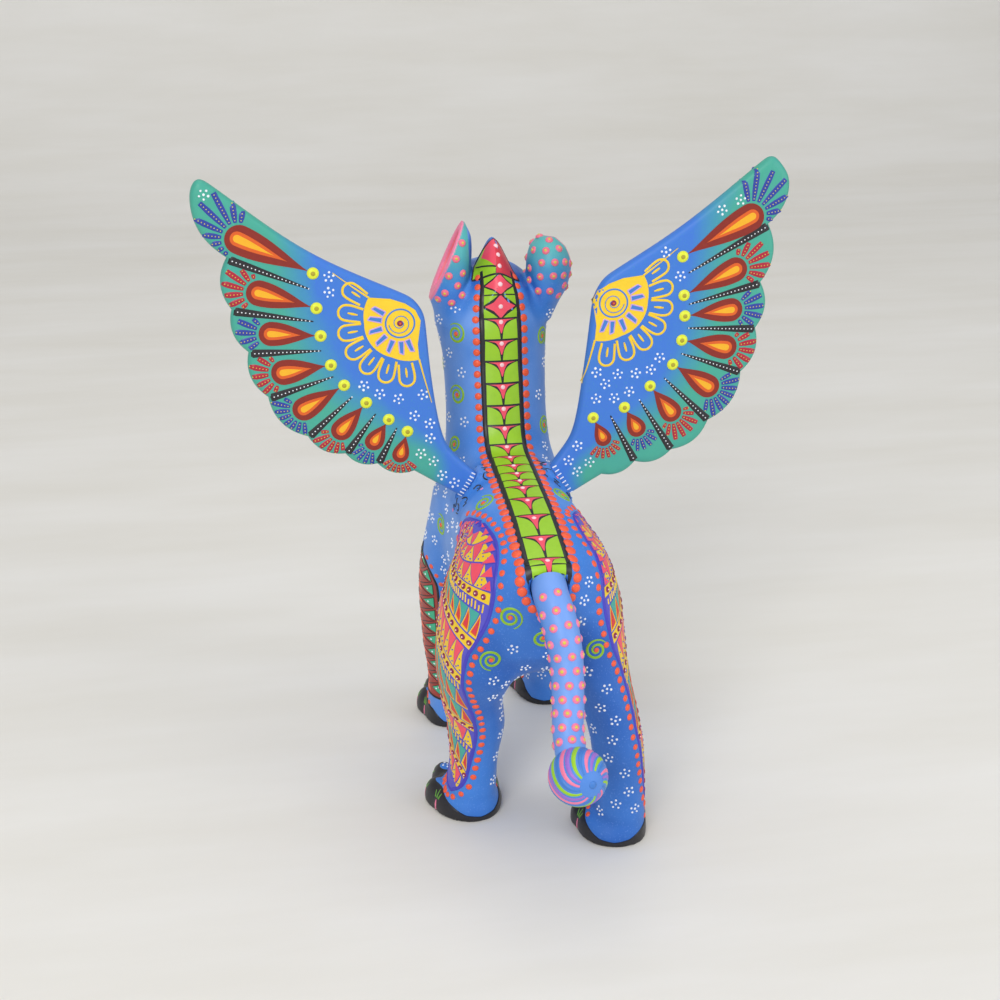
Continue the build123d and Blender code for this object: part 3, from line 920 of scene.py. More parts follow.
def tail_skin(s, angle):
    """Point and outward way on the tail; angle 0 faces back and up."""
    middle, radius, way, _ = tail_station(s)
    side = np.cross(way, (0, 0, 1))
    side /= np.linalg.norm(side, axis=-1)[..., None]
    top = np.cross(side, way)
    out = np.cos(angle)[..., None] * top + np.sin(angle)[..., None] * side
    return middle + out * radius[..., None], out


def tuft_radius(t):
    """Profile of the tuft from its neck (t = -1) to its tip (t = 1)."""
    return 8.7 * np.sqrt(np.maximum(1 - np.abs(t) ** 2.3, 0))


TUFT_SIDE = np.cross(TUFT_AIM, (0, 0, 1)) / np.linalg.norm(np.cross(TUFT_AIM, (0, 0, 1)))
TUFT_UP = np.cross(TUFT_SIDE, TUFT_AIM)


def tuft_skin(t, angle):
    """Point on the tuft, t from -1 at the neck to 1 at the tip."""
    out = np.cos(angle)[..., None] * TUFT_UP + np.sin(angle)[..., None] * TUFT_SIDE
    return TUFT_CENTRE + (t * 8.5)[..., None] * TUFT_AIM + tuft_radius(t)[..., None] * out


def ring_mesh(rows, close_start=True, close_end=True):
    """Faces joining rows of points round a tube; points is rows x ring x 3."""
    count, around = rows.shape[:2]
    faces = []
    for i in range(count - 1):
        for j in range(around):
            k = (j + 1) % around
            faces.append((i * around + j, i * around + k, (i + 1) * around + k, (i + 1) * around + j))
    if close_start:
        faces.append(tuple(range(around))[::-1])
    if close_end:
        faces.append(tuple((count - 1) * around + j for j in range(around)))
    return rows.reshape(-1, 3), faces


TAIL_LENGTH = float(tail_station(0.0)[3])
tail_s, tail_a = np.meshgrid(
    np.linspace(0, TAIL_LENGTH, 70), np.linspace(0, 2 * math.pi, 48, endpoint=False), indexing="ij"
)
points, faces = ring_mesh(tail_skin(tail_s, tail_a)[0])
tail = mesh_object("tail_carved", points, faces, TAIL_BLUE, "tail", "tail")
tail.data.set_sharp_from_angle(angle=math.radians(50))
# Painted light and shade: the tail is lighter on its top and darker underneath.
set_attribute(tail, "shade", np.clip(0.55 + 0.4 * np.cos(tail_a).ravel(), 0, 1))
tuft_t, tuft_a = np.meshgrid(
    np.sin(np.linspace(-math.pi / 2, math.pi / 2, 40)[1:-1]),
    np.linspace(0, 2 * math.pi, 64, endpoint=False),
    indexing="ij",
)
points, faces = ring_mesh(tuft_skin(tuft_t, tuft_a))
tuft = mesh_object("tail_tuft", points, faces, TAIL_BLUE, "tail", None)
set_attribute(tuft, "shade", np.full(len(points), 0.45))

for node in ("left_wing_dowels", "right_wing_dowels", "tail_peg", "left_ear_peg", "right_ear_peg"):
    frame["nodes"][node].data.materials.clear()
    frame["nodes"][node].data.materials.append(BARE_WOOD)

# ---------------------------------------------------------------------------------------------
# Charts: ways of finding a place on a surface. Each turns (n, 2) numbers into points and normals
# ---------------------------------------------------------------------------------------------
class Skin:
    """A carved surface that paint is laid on."""

    def __init__(self, points, faces):
        self.tree = BVHTree.FromPolygons([tuple(p) for p in points], faces)

    def cast(self, origins, ways):
        places, normals = [], []
        for origin, way in zip(origins, ways):
            hit, normal, _, _ = self.tree.ray_cast(Vector(origin), Vector(way))
            if hit is None:
                hit, normal, _, _ = self.tree.find_nearest(Vector(origin) + Vector(way) * 12)
            places.append(hit)
            normals.append(normal)
        return np.array(places), np.array(normals)

    def nearest(self, point):
        hit, normal, _, _ = self.tree.find_nearest(Vector(point))
        return np.array(hit), np.array(normal)

    def patch(self, point, turn=0.0, up=(0, 0, 1)):
        """Flat millimetres round a point: first number across, second one up."""
        middle, normal = self.nearest(point)
        across = np.cross(up, normal)
        across /= np.linalg.norm(across)
        rise = np.cross(normal, across)
        c, s = math.cos(turn), math.sin(turn)
        across, rise = c * across + s * rise, c * rise - s * across

        def chart(flat):
            flat = np.asarray(flat, float)
            start = middle + flat[:, :1] * across + flat[:, 1:] * rise + 4 * normal
            return self.cast(start, np.tile(-normal, (len(flat), 1)))

        return chart


# y, z, tilt of the outward way from upright towards the tail in degrees
BACK_AXIS = (
    (38.0, 82.0, 50.0),
    (30.0, 84.0, 18.0),
    (14.0, 86.0, 4.0),
    (-6.0, 88.0, 2.0),
    (-24.0, 93.0, 14.0),
    (-36.0, 102.0, 46.0),
    (-43.0, 114.0, 72.0),
    (-47.0, 127.0, 83.0),
    (-50.5, 142.0, 84.0),
    (-54.0, 154.0, 82.0),
    (-56.0, 162.0, 62.0),
    (-59.0, 164.0, 28.0),
    (-63.0, 163.0, 4.0),
)
BODY_SKIN = Skin(body_points, body_faces)


def back_rays(t):
    rows = smooth_curve([(float(k),) + row for k, row in enumerate(BACK_AXIS)], t)
    tilt = np.radians(rows[..., 2])
    start = np.stack((np.full(tilt.shape, SPINE), rows[..., 0], rows[..., 1]), -1)
    return start, np.stack((np.zeros(tilt.shape), np.sin(tilt), np.cos(tilt)), -1)


BACK_T = np.linspace(0, len(BACK_AXIS) - 1, 400)
BACK_LINE = BODY_SKIN.cast(*back_rays(BACK_T))[0]
BACK_RUN = np.concatenate(([0], np.cumsum(np.linalg.norm(np.diff(BACK_LINE, axis=0), axis=1))))


def back(flat):
    """Down the spine: millimetres from the tail towards the head, and millimetres to the left."""
    flat = np.asarray(flat, float)
    t = np.interp(flat[:, 0], BACK_RUN, BACK_T)
    start, way = back_rays(t)
    middle = np.stack([np.interp(t, BACK_T, BACK_LINE[:, k]) for k in range(3)], -1)
    radius = np.linalg.norm(middle - start, axis=1)
    turn = (flat[:, 1] / radius)[:, None]
    return BODY_SKIN.cast(start, np.cos(turn) * way + np.sin(turn) * np.array((1.0, 0.0, 0.0)))


HAUNCH = 85.0  # height above which a leg's chart leans over onto the back
LEAN = 2.6  # degrees of lean for each millimetre above it


def limb(stations, side):
    """Round a leg: degrees from its outer side towards the tail, and height."""

    def chart(flat):
        flat = np.asarray(flat, float)
        height = np.minimum(flat[:, 1], HAUNCH)
        rows = smooth_curve([(s[2], s[0], s[1]) for s in stations], height)
        turn, lean = np.radians(flat[:, 0]), np.radians(LEAN * (flat[:, 1] - height))
        start = np.stack((SPINE + rows[:, 0], rows[:, 1] - 5.0 * lean, height), -1)
        way = (side * np.cos(turn) * np.cos(lean), np.sin(turn) * np.cos(lean), np.sin(lean))
        return BODY_SKIN.cast(start, np.stack(way, -1))

    return chart


LIMBS = {
    "left_hind": limb(LEFT_HIND, 1),
    "right_hind": limb(RIGHT_HIND, -1),
    "left_fore": limb(LEFT_FORE, 1),
    "right_fore": limb(RIGHT_FORE, -1),
}

# ---------------------------------------------------------------------------------------------
# Paint: every shape is a thin closed solid lying on a skin, gathered by body and colour
# ---------------------------------------------------------------------------------------------
PAINTED = {}
TAKEN = collections.defaultdict(list)


def gather(skin, colour, points, faces):
    groups = PAINTED.setdefault((skin.body, skin.slot, colour), [[], [], 0])
    groups[0].append(points)
    groups[1].extend(tuple(k + groups[2] for k in f) for f in faces)
    groups[2] += len(points)


def unit(vectors):
    return vectors / np.maximum(np.linalg.norm(vectors, axis=-1), 1e-9)[..., None]


def refine(line, step, closed=True):
    """The line with points added so that no two are further apart than the step."""
    line = np.asarray(line, float)
    ends = np.roll(line, -1, axis=0) if closed else line[1:]
    out = []
    for a, b in zip(line, ends):
        n = max(int(math.ceil(np.linalg.norm(b - a) / step)), 1)
        out.extend(a + (b - a) * k / n for k in range(n))
    return np.array(out if closed else out + [line[-1]])


def fill(skin, chart, polygon, colour, lift=0.1, step=1.2):
    """A closed thin solid over a polygon drawn on a chart."""
    line = refine(polygon, step)
    flat, faces = triangulate(line, fill_points(line, step, step * 0.4))
    places, normals = chart(flat)
    a, b, c = (places[[f[k] for f in faces]] for k in range(3))
    over = normals[[f[0] for f in faces]]
    if np.sum(np.cross(b - a, c - a) * over) < 0:
        faces = [f[::-1] for f in faces]
    n = len(flat)
    below = [tuple(k + n for k in f[::-1]) for f in faces]
    sides = {(f[k], f[(k + 1) % 3]) for f in faces for k in range(3)}
    walls = [(b, a, a + n, b + n) for a, b in sides if (b, a) not in sides]
    gather(skin, colour, np.vstack((places + normals * lift, places - normals * 0.12)), faces + below + walls)


def stroke(skin, chart, path, width, colour, lift=0.2, smooth=True, spacing=0.6):
    """A closed ridge of paint along a path; the width may be given at several places along it."""
    path = through(path, spacing) if smooth else refine(path, spacing, closed=False)
    places, normals = chart(path)
    along = unit(np.gradient(places, axis=0))
    aside = unit(np.cross(normals, along))
    width = np.atleast_1d(np.asarray(width, float))
    half = np.interp(np.linspace(0, 1, len(path)), np.linspace(0, 1, len(width)), width) / 2
    rows = []
    for across, height in ((1.0, -0.12), (0.62, 0.8 * lift), (0.0, lift), (-0.62, 0.8 * lift), (-1.0, -0.12)):
        edge = places + aside * (half * across)[:, None]
        if abs(across) > 0.9 and half.max() > 0.9:
            edge = skin.cast(edge + normals * 2, -normals)[0]
        rows.append(edge + normals * height)
    gather(skin, colour, *ring_mesh(np.stack(rows, 1)[:, ::-1]))
    return places


def dot(skin, place, normal, radius, height, colour, sides=12, stretch=None):
    """A raised drop of paint."""
    across = unit(np.cross(normal, (0.31, 0.52, 0.79)) if stretch is None else np.asarray(stretch, float))
    rise = np.cross(normal, across)
    turn = np.linspace(0, 2 * math.pi, sides, endpoint=False)
    longer = 1.0 if stretch is None else 1.25
    ring = np.outer(np.cos(turn) * longer, across) + np.outer(np.sin(turn), rise)
    profile = ((1.0, -0.25), (0.93, 0.35 * height), (0.6, 0.85 * height), (0.25, height))
    if radius < 0.6:
        profile = ((1.0, -0.1), (0.6, height))
    rows = np.stack([place + ring * radius * r + normal * h for r, h in profile])
    gather(skin, colour, *ring_mesh(rows))
    TAKEN[skin].append((*place, radius))


def along_path(chart, path, pitch):
    """Places spaced evenly along a path on the surface."""
    line = through(path, 0.4)
    places, _ = chart(line)
    run = np.concatenate(([0], np.cumsum(np.linalg.norm(np.diff(places, axis=0), axis=1))))
    count = max(int(round(run[-1] / pitch)), 1)
    at = np.linspace(0, run[-1], count + 1)
    return chart(np.stack([np.interp(at, run, line[:, k]) for k in range(2)], 1))


def row_of_dots(skin, chart, path, pitch, radius, colour, height=0.4):
    places, normals = along_path(chart, path, pitch)
    radius = np.interp(np.linspace(0, 1, len(places)), np.linspace(0, 1, len(np.atleast_1d(radius))), radius)
    for place, normal, r in zip(places, normals, radius):
        dot(skin, place, normal, r * DRAW.uniform(0.92, 1.06), height, colour)


def flower(skin, place, normal, radius=1.5, turn=0.0):
    """Five white dots round one."""
    across = unit(np.cross(normal, (0.2, 0.1, 0.97)))
    rise = np.cross(normal, across)
    chart_way = [(0.0, 0.0)] + [
        (radius * math.cos(angle), radius * math.sin(angle))
        for angle in [turn + k * math.tau / 5 for k in range(5)]
    ]
    start = place + np.array([a * across + b * rise for a, b in chart_way]) + normal * 2
    for spot, way in zip(*skin.cast(start, np.tile(-normal, (6, 1)))):
        dot(skin, spot, way, 0.5 * DRAW.uniform(0.85, 1.1), 0.24, "white", 6)
    TAKEN[skin].append((*place, radius + 1.0))


def clear(skin, place, margin):
    taken = np.array(TAKEN[skin] or [(1e6, 0, 0, 0)])
    return np.all(np.linalg.norm(taken[:, :3] - place, axis=1) > taken[:, 3] + margin)


def strew(skin, places, margin, radius, put):
    """Puts something at each of the places that is still free, well apart from the others."""
    taken = np.array(TAKEN[skin] or [(1e6, 0, 0, 0)])
    for k, place in enumerate(places):
        if np.all(np.sum((taken[:, :3] - place) ** 2, axis=1) > (taken[:, 3] + margin) ** 2):
            put(k)
            taken = np.vstack((taken, (*place, radius)))


def random_places(points, faces, count, seed):
    """Places spread at random over a surface."""
    corners = points[np.array([f[:3] for f in faces])]
    areas = np.linalg.norm(np.cross(corners[:, 1] - corners[:, 0], corners[:, 2] - corners[:, 0]), axis=1)
    return corners[np.random.default_rng(seed).choice(len(faces), count, p=areas / areas.sum())].mean(1)


def spiral(skin, place, radius=3.5, turns=2.3, hand=1, start=0.0):
    """A lime spiral with an orange heart."""
    chart = skin.patch(place)
    angle = np.linspace(0.5, turns * math.tau, int(turns * 26))
    r = radius * angle / angle[-1]
    path = np.stack((r * np.cos(start + hand * angle), r * np.sin(start + hand * angle)), 1)
    stroke(skin, chart, path, (0.6, 1.05, 1.05, 0.4), "spring", 0.25, spacing=0.5)
    middle, normal = (v[0] for v in chart([(0.0, 0.0)]))
    dot(skin, middle, normal, 0.85, 0.35, "orange")
    TAKEN[skin].append((*middle, radius + 0.3))


BODY_SKIN.body, BODY_SKIN.slot = "carving", "painted_body"

# ---------------------------------------------------------------------------------------------
# The strip down the back
# ---------------------------------------------------------------------------------------------
CELL_ENDS = (21.5, 32.5, 44.0, 55.0, 63.0, 67.5, 73.0, 79.0, 85.5, 92.0, 98.8)
CELL_ENDS += (105.5, 113.0, 120.5, 127.8, 135.0)
HALF_STRIP = 6.4
BORDER = 2.1


def draw_strip():
    skin, inner = BODY_SKIN, HALF_STRIP - BORDER / 2 + 0.25
    top = 153.5
    fill(skin, back, ((18.0, -6.0), (18.0, 6.0), (top, 6.0), (top, -6.0)), "black", 0.08, 1.1)
    for side in (1, -1):
        path = [(s, side * HALF_STRIP) for s in (18.5, 30, 50, 70, 85, 95, 110, 125, 140, 153)]
        stroke(skin, back, path, BORDER, "black", 0.22)
    for low, high in zip((10.5,) + CELL_ENDS, CELL_ENDS):
        size = high - low
        for side in (1, -1):
            gap = 0.28
            curve = [(low + gap, side * 0.35), (low + 0.45 * size, side * 0.75)]
            curve.append((low + 0.72 * size, side * 1.9))
            curve += [(low + 0.92 * size, side * (inner - 0.9)), (high - 0.45, side * (inner - 0.15))]
            lobe = list(through(curve, 0.6)) + [(low + gap, side * inner)]
            if low < 12:
                lobe = [(18.1, side * 1.2), (19.8, side * 2.2), (20.9, side * (inner - 1.2))]
                lobe += [(20.9, side * inner), (18.1, side * inner)]
            fill(skin, back, lobe, "lime", 0.17, 0.9)
        tip = low + 0.3 * size
        triangle = []
        for side in (1, -1):
            edge = [(high - 0.4, side * (inner - 1.1)), (low + 0.86 * size, side * 2.0)]
            edge += [(low + 0.66 * size, side * 1.0), (tip, side * 0.15)]
            triangle += list(through(edge, 0.5))[::side]
        fill(skin, back, triangle, "coral", 0.19, 0.9)
        place, normal = (v[0] for v in back([(low + 0.82 * size, 0.0)]))
        dot(skin, place, normal, 0.85, 0.45, "rosewhite")
    for low, high in ((135.0, 143.0), (143.0, 150.0)):
        middle = (low + high) / 2
        diamond = []
        for side in (1, -1):
            half = [(high - 0.3, 0.3 * side), (middle + 1.5, side * 2.3), (middle, side * (inner - 0.4))]
            half += [(middle - 1.5, side * 2.3), (low + 0.3, 0.3 * side)]
            diamond += half if side == 1 else half[::-1]
        fill(skin, back, diamond, "coral", 0.19, 0.9)
        place, normal = (v[0] for v in back([(middle, 0.0)]))
        dot(skin, place, normal, 0.9, 0.45, "rosewhite")
        for side in (1, -1):
            for end, way in ((low, 1), (high, -1)):
                lobe = [(end + way * 0.25, side * 1.0), (end + way * 1.4, side * 2.4)]
                lobe += [(middle - way * 0.5, side * inner), (end + way * 0.25, side * inner)]
                fill(skin, back, lobe, "lime", 0.17, 0.9)
    for side in (1, -1):
        path = [(s, side * 8.4) for s in (21.5, 30, 50, 70, 85, 95, 110, 125, 140, 151)]
        row_of_dots(skin, back, path, 3.7, (1.85, 1.8, 1.6, 1.4, 1.35, 1.35, 1.35), "orange", 0.5)
    for place in back([(s, u) for s in np.arange(16.0, 156.0, 2.5) for u in (-6.5, -2.5, 2.5, 6.5)])[0]:
        TAKEN[skin].append((*place, 2.6))


def behind(flat):
    """The carving seen from behind and above: sideways from the spine, and upwards."""
    flat = np.asarray(flat, float)
    across, up, away = np.array((1.0, 0.0, 0.0)), np.array((0.0, -0.6, 0.8)), np.array((0.0, 0.8, 0.6))
    start = np.array((SPINE, 0.0, 0.0)) + flat[:, :1] * across + flat[:, 1:] * up + 260 * away
    return BODY_SKIN.cast(start, np.tile(-away, (len(flat), 1)))


def draw_tail_root():
    """The strip runs on at both sides of the tail and ends under it."""
    skin = BODY_SKIN
    half = ((0.0, 57.5), (6.6, 57.5), (7.3, 55.0), (7.1, 51.5))
    half += ((5.9, 48.3), (3.9, 45.8), (1.6, 44.0), (0.0, 43.6))
    rim = list(half) + [(-x, v) for x, v in half[::-1]]
    fill(skin, behind, rim, "black", 0.1, 1.0)
    for side in (1, -1):
        lime = ((1.0, 55.0), (5.4, 55.0), (5.1, 51.3), (4.1, 49.0), (2.6, 47.4), (0.3, 47.0))
        fill(skin, behind, [(side * x, v) for x, v in lime], "lime", 0.18, 1.0)
        outer = ((8.7, 54.2), (9.0, 51.8), (8.4, 48.6), (6.9, 45.4), (4.9, 43.0), (2.6, 41.8))
        row_of_dots(skin, behind, [(side * x, v) for x, v in outer], 3.6, (1.65, 1.55), "orange", 0.5)


def draw_crest():
    """Lime and red faces on the crest, outlined in black, with a row of white dots."""
    skin = BODY_SKIN
    peak, left, right = (0.4, 175.6), (8.2, 163.2), (-7.4, 162.4)
    left_face = (left, (6.6, 168.5), (3.6, 173.0), peak, (0.6, 168.0), (1.2, 162.6))
    fill(skin, behind, left_face, "lime", 0.14, 1.0)
    fill(skin, behind, ((4.6, 170.0), (3.0, 173.4), peak, (0.6, 168.0), (1.0, 164.8)), "coral", 0.2, 1.0)
    right_face = ((1.0, 162.6), (0.6, 168.0), peak, (-2.6, 172.6), (-5.2, 167.6), right)
    fill(skin, behind, right_face, "red", 0.14, 1.0)
    stroke(skin, behind, ((8.4, 162.9), (4.0, 162.4), (0.0, 162.2), (-7.6, 162.2)), 0.9, "black", 0.28)
    stroke(skin, behind, ((6.4, 167.6), (3.6, 166.0), (0.9, 164.8)), 0.8, "black", 0.28)
    stroke(skin, behind, ((8.4, 163.0), (6.8, 168.5), (3.8, 173.2), peak), 0.7, "black", 0.28)
    stroke(skin, behind, (peak, (-2.8, 172.8), (-5.4, 167.6), (-7.6, 162.3)), 0.7, "black", 0.28)
    for x, v in ((-0.4, 165.0), (-0.3, 169.0), (0.1, 172.4)):
        place, normal = (n[0] for n in behind([(x, v)]))
        dot(skin, place, normal, 0.85, 0.4, "rosewhite")
    for place in behind([(x, v) for x in range(-8, 10, 3) for v in range(160, 176, 3)])[0]:
        TAKEN[skin].append((*place, 2.6))


def before(flat):
    """The face seen from the front: sideways from the spine, and height."""
    flat = np.asarray(flat, float)
    start = np.column_stack((SPINE + 0.5 + flat[:, 0], np.full(len(flat), -120.0), flat[:, 1]))
    return BODY_SKIN.cast(start, np.tile((0.0, 1.0, 0.0), (len(flat), 1)))


def oval(x, z, wide, high):
    turns = [math.tau * k / 20 for k in range(20)]
    return [(x + wide * math.cos(turn), z + high * math.sin(turn)) for turn in turns]


def draw_face():
    """Eyes, brows, nose, mouth and a row of dots down the muzzle."""
    skin = BODY_SKIN
    for side in (1, -1):
        for wide, high, colour, lift in (
            (3.5, 2.7, "black", 0.12),
            (2.9, 2.1, "yellow", 0.2),
            (1.7, 1.8, "teal", 0.26),
            (0.9, 1.3, "black", 0.32),
        ):
            fill(skin, before, oval(side * 8.6, 161.4, wide, high), colour, lift, 0.7)
        place, normal = (n[0] for n in before([(side * 8.6 + 0.6, 162.1)]))
        dot(skin, place, normal, 0.45, 0.5, "white", 8)
        lid = ((side * 3.8, 165.0), (side * 8.6, 167.0), (side * 13.0, 164.2))
        stroke(skin, before, lid, 1.1, "lime", 0.3)
        brow = ((side * 3.6, 167.6), (side * 8.6, 169.8), (side * 13.6, 166.6))
        row_of_dots(skin, before, brow, 2.5, (0.95, 0.85), "orange", 0.4)
        for x, z in ((3.0, 153.6), (5.2, 152.9), (4.1, 151.6), (6.2, 151.2)):
            place, normal = (n[0] for n in before([(side * x, z)]))
            dot(skin, place, normal, 0.45, 0.3, "black", 7)
        for k in range(5):
            petal = [(side * (9.5 + 0.9 * r * (k + 1) / 3), 155.5 - k * 1.5 - 0.2 * r) for r in (0, 2, 4)]
            stroke(skin, before, petal, (0.9, 0.4), ("pink", "lime", "yellow")[k % 3], 0.28)
        for x, z in ((8.6, 161.4), (6.0, 168.0), (11.0, 168.0), (5.0, 152.5), (11.5, 153.0)):
            TAKEN[skin].append((*before([(side * x, z)])[0][0], 4.0))
    fill(skin, before, oval(0.0, 156.5, 3.0, 1.9), "black", 0.15, 0.7)
    stroke(skin, before, ((0.0, 155.0), (0.0, 150.6)), 0.5, "black", 0.25)
    lips = ((-6.6, 150.6), (-3.2, 150.2), (0.0, 150.6), (3.2, 150.2), (6.6, 150.6))
    stroke(skin, before, lips, 0.8, "red", 0.25)
    muzzle = ((0.0, 159.4), (0.0, 163.0), (0.0, 167.0), (0.0, 171.0))
    row_of_dots(skin, before, muzzle, 2.6, (0.8, 1.0, 1.2), "coral", 0.4)
    for z in (152.0, 156.0, 160.0, 164.0, 168.0):
        TAKEN[skin].append((*before([(0.0, z)])[0][0], 3.4))


def draw_sockets():
    """Black curls and strokes, with pink strokes here and there, round the wings' seats; the white stitches
    across each seam are painted on the wing.
    """
    skin = BODY_SKIN
    for name in ROOTS:
        middle, up, out = root_frame(name)
        for k in range(9):
            turn = math.tau * k / 9 + 0.2
            ring = middle + up * 8.6 * math.sin(turn) + np.array((0.0, 1.0, 0.0)) * 6.4 * math.cos(turn)
            chart = skin.patch(ring - out * 2, turn)
            curl = ((-1.6, -1.2), (-1.0, 0.6), (0.4, 1.0), (0.9, 0.0), (0.2, -0.5))
            stroke(skin, chart, curl, (0.7, 0.55, 0.4, 0.3), "black", 0.2)
            stroke(skin, chart, ((1.4, -1.4), (1.8, 1.0)), (0.6, 0.25), "black", 0.2)
            if k % 3 == 0:
                stroke(skin, chart, ((2.6, -0.6), (2.9, 0.4)), (0.5, 0.7), "pink", 0.25)
            TAKEN[skin].append((*ring, 3.0))


# ---------------------------------------------------------------------------------------------
# Panels on the thighs and forelegs
# ---------------------------------------------------------------------------------------------
HIND_PANELS = {  # height, front edge, back edge in degrees
    "left_hind": (
        (119.2, -72, 102),
        (112.0, -76, 102),
        (105.0, -78, 97),
        (98.0, -70, 90),
        (92.0, -58, 87),
        (85.0, -48, 82),
        (78.0, -40, 74),
        (71.0, -34, 65),
        (63.0, -32, 63),
        (54.0, -32, 71),
        (44.0, -34, 82),
        (31.0, -32, 78),
        (22.0, -28, 70),
        (15.0, -22, 62),
        (11.5, -2, 46),
        (10.0, 16, 28),
    ),
    "right_hind": (
        (119.2, -72, 90),
        (112.0, -72, 84),
        (105.0, -66, 78),
        (98.0, -60, 76),
        (92.0, -54, 76),
        (83.0, -46, 73),
        (74.0, -38, 69),
        (64.0, -34, 58),
        (53.0, -34, 55),
        (43.0, -34, 56),
        (33.0, -32, 48),
        (25.0, -28, 38),
        (17.0, -18, 24),
        (14.0, -4, 12),
    ),
}


def panel_chart(limb_name, edges, slant):
    """Across a panel, -1 at its front edge to 1 at its back one, and height at its middle."""
    limb_chart = LIMBS[limb_name]
    top = edges[0][0]

    def place(flat):
        flat = np.asarray(flat, float)
        v, w = flat[:, 0], flat[:, 1]
        drop = slant * np.clip((top - 4 - w) / 9, 0, 1) * np.clip((w - edges[-1][0]) / 9, 0, 1)
        h = w - drop * v
        low, high = smooth_curve(edges, h).T
        return np.stack(((low + high) / 2 + v * (high - low) / 2, h), 1)

    def chart(flat):
        return limb_chart(place(flat))

    return chart


def shrink(polygon, chart, margin):
    """A polygon drawn in towards its middle by a margin in millimetres."""
    polygon = np.asarray(polygon, float)
    middle = polygon.mean(0)
    places = chart(np.vstack((polygon, middle)))[0]
    reach = np.linalg.norm(places[:-1] - places[-1], axis=1)
    return middle + (polygon - middle) * np.clip(1 - margin / reach, 0.25, 1)[:, None]


def shape(skin, chart, polygon, colour, lift, margin=0.0):
    polygon = shrink(polygon, chart, margin) if margin else np.asarray(polygon, float)
    scale = np.array((1 / 14.0, 1.0))
    fill(skin, lambda flat: chart(flat * scale), polygon / scale, colour, lift, 1.3)


def row_width(chart, w):
    places = chart(np.stack((np.linspace(-1, 1, 40), np.full(40, w)), 1))[0]
    return np.linalg.norm(np.diff(places, axis=0), axis=1).sum()


def teeth(skin, chart, low, high, kinds, size=4.7, reach=0.98):
    """A row of upright triangles, with hanging triangles between them."""
    n = max(int(round(row_width(chart, (low + high) / 2) / size)), 2)
    step = 2 * reach / n
    for k in range(n):
        a = -reach + k * step
        up = ((a, low), (a + step, low), (a + step / 2, high))
        down = ((a + step / 2, high), (a + 1.5 * step, high), (a + step, low))
        kind = kinds[k % len(kinds)]
        shape(skin, chart, up, "yellow", 0.2, 0.42)
        if kind == "flame":
            shape(skin, chart, up, "flame", 0.27, 1.35)
            shape(skin, chart, up, "red", 0.33, 1.9)
        if kind == "dotted":
            for v, t in ((0.5, 0.24), (0.5, 0.5), (0.28, 0.14), (0.72, 0.14)):
                spot = chart([(a + step * v, low + (high - low) * t)])
                dot(skin, spot[0][0], spot[1][0], 0.38, 0.4, "iris", 7)
        if k < n - 1:
            hanging = {"flame": "teal", "dotted": "coral", "plain": "coral"}[kind]
            shape(skin, chart, down, hanging, 0.2, 0.42)


def hatch(skin, chart, low, high, size=1.5, reach=0.93):
    n = max(int(round(row_width(chart, (low + high) / 2) / size)), 2)
    step = 2 * reach / n
    for k in range(n):
        a = -reach + (k + 0.5) * step
        short = 0.25 * (high - low) * (k % 3 == 0)
        stroke(skin, chart, ((a, low + 0.3), (a, high - 0.3 - short)), 0.7, "yellow", 0.28)


def band(skin, chart, low, high, reach=0.97):
    ends = ((-reach, low + 0.3), (reach, low + 0.3), (reach, high - 0.3), (-reach, high - 0.3))
    shape(skin, chart, ends, "yellow", 0.2)
    middle = (low + high) / 2
    spots = along_path(chart, [(v, middle) for v in np.linspace(-reach + 0.08, reach - 0.08, 9)], 2.9)
    for place, normal in zip(*spots):
        dot(skin, place + normal * 0.1, normal, min(1.05, (high - low) * 0.3), 0.45, "maroon", 10)
        dot(skin, place + normal * 0.42, normal, 0.4, 0.25, "rosewhite", 7)


PANEL_ROWS = (  # kind, from height, to height
    ("dotted", 103.0, 108.5),
    ("dotted", 108.5, 113.0),
    ("plain", 113.0, 116.5),
    ("band", 99.0, 103.0),
    ("hatch", 95.5, 99.0),
    ("flame", 87.0, 95.5),
    ("band", 83.0, 87.0),
    ("dotted", 73.5, 83.0),
    ("band", 69.5, 73.5),
    ("hatch", 66.5, 69.5),
    ("flame", 57.5, 66.5),
    ("flame", 49.5, 57.5),
    ("band", 46.0, 49.5),
    ("dotted", 38.0, 46.0),
    ("hatch", 35.5, 38.0),
    ("flame", 27.5, 35.5),
    ("band", 24.3, 27.5),
    ("dotted", 16.5, 24.3),
)


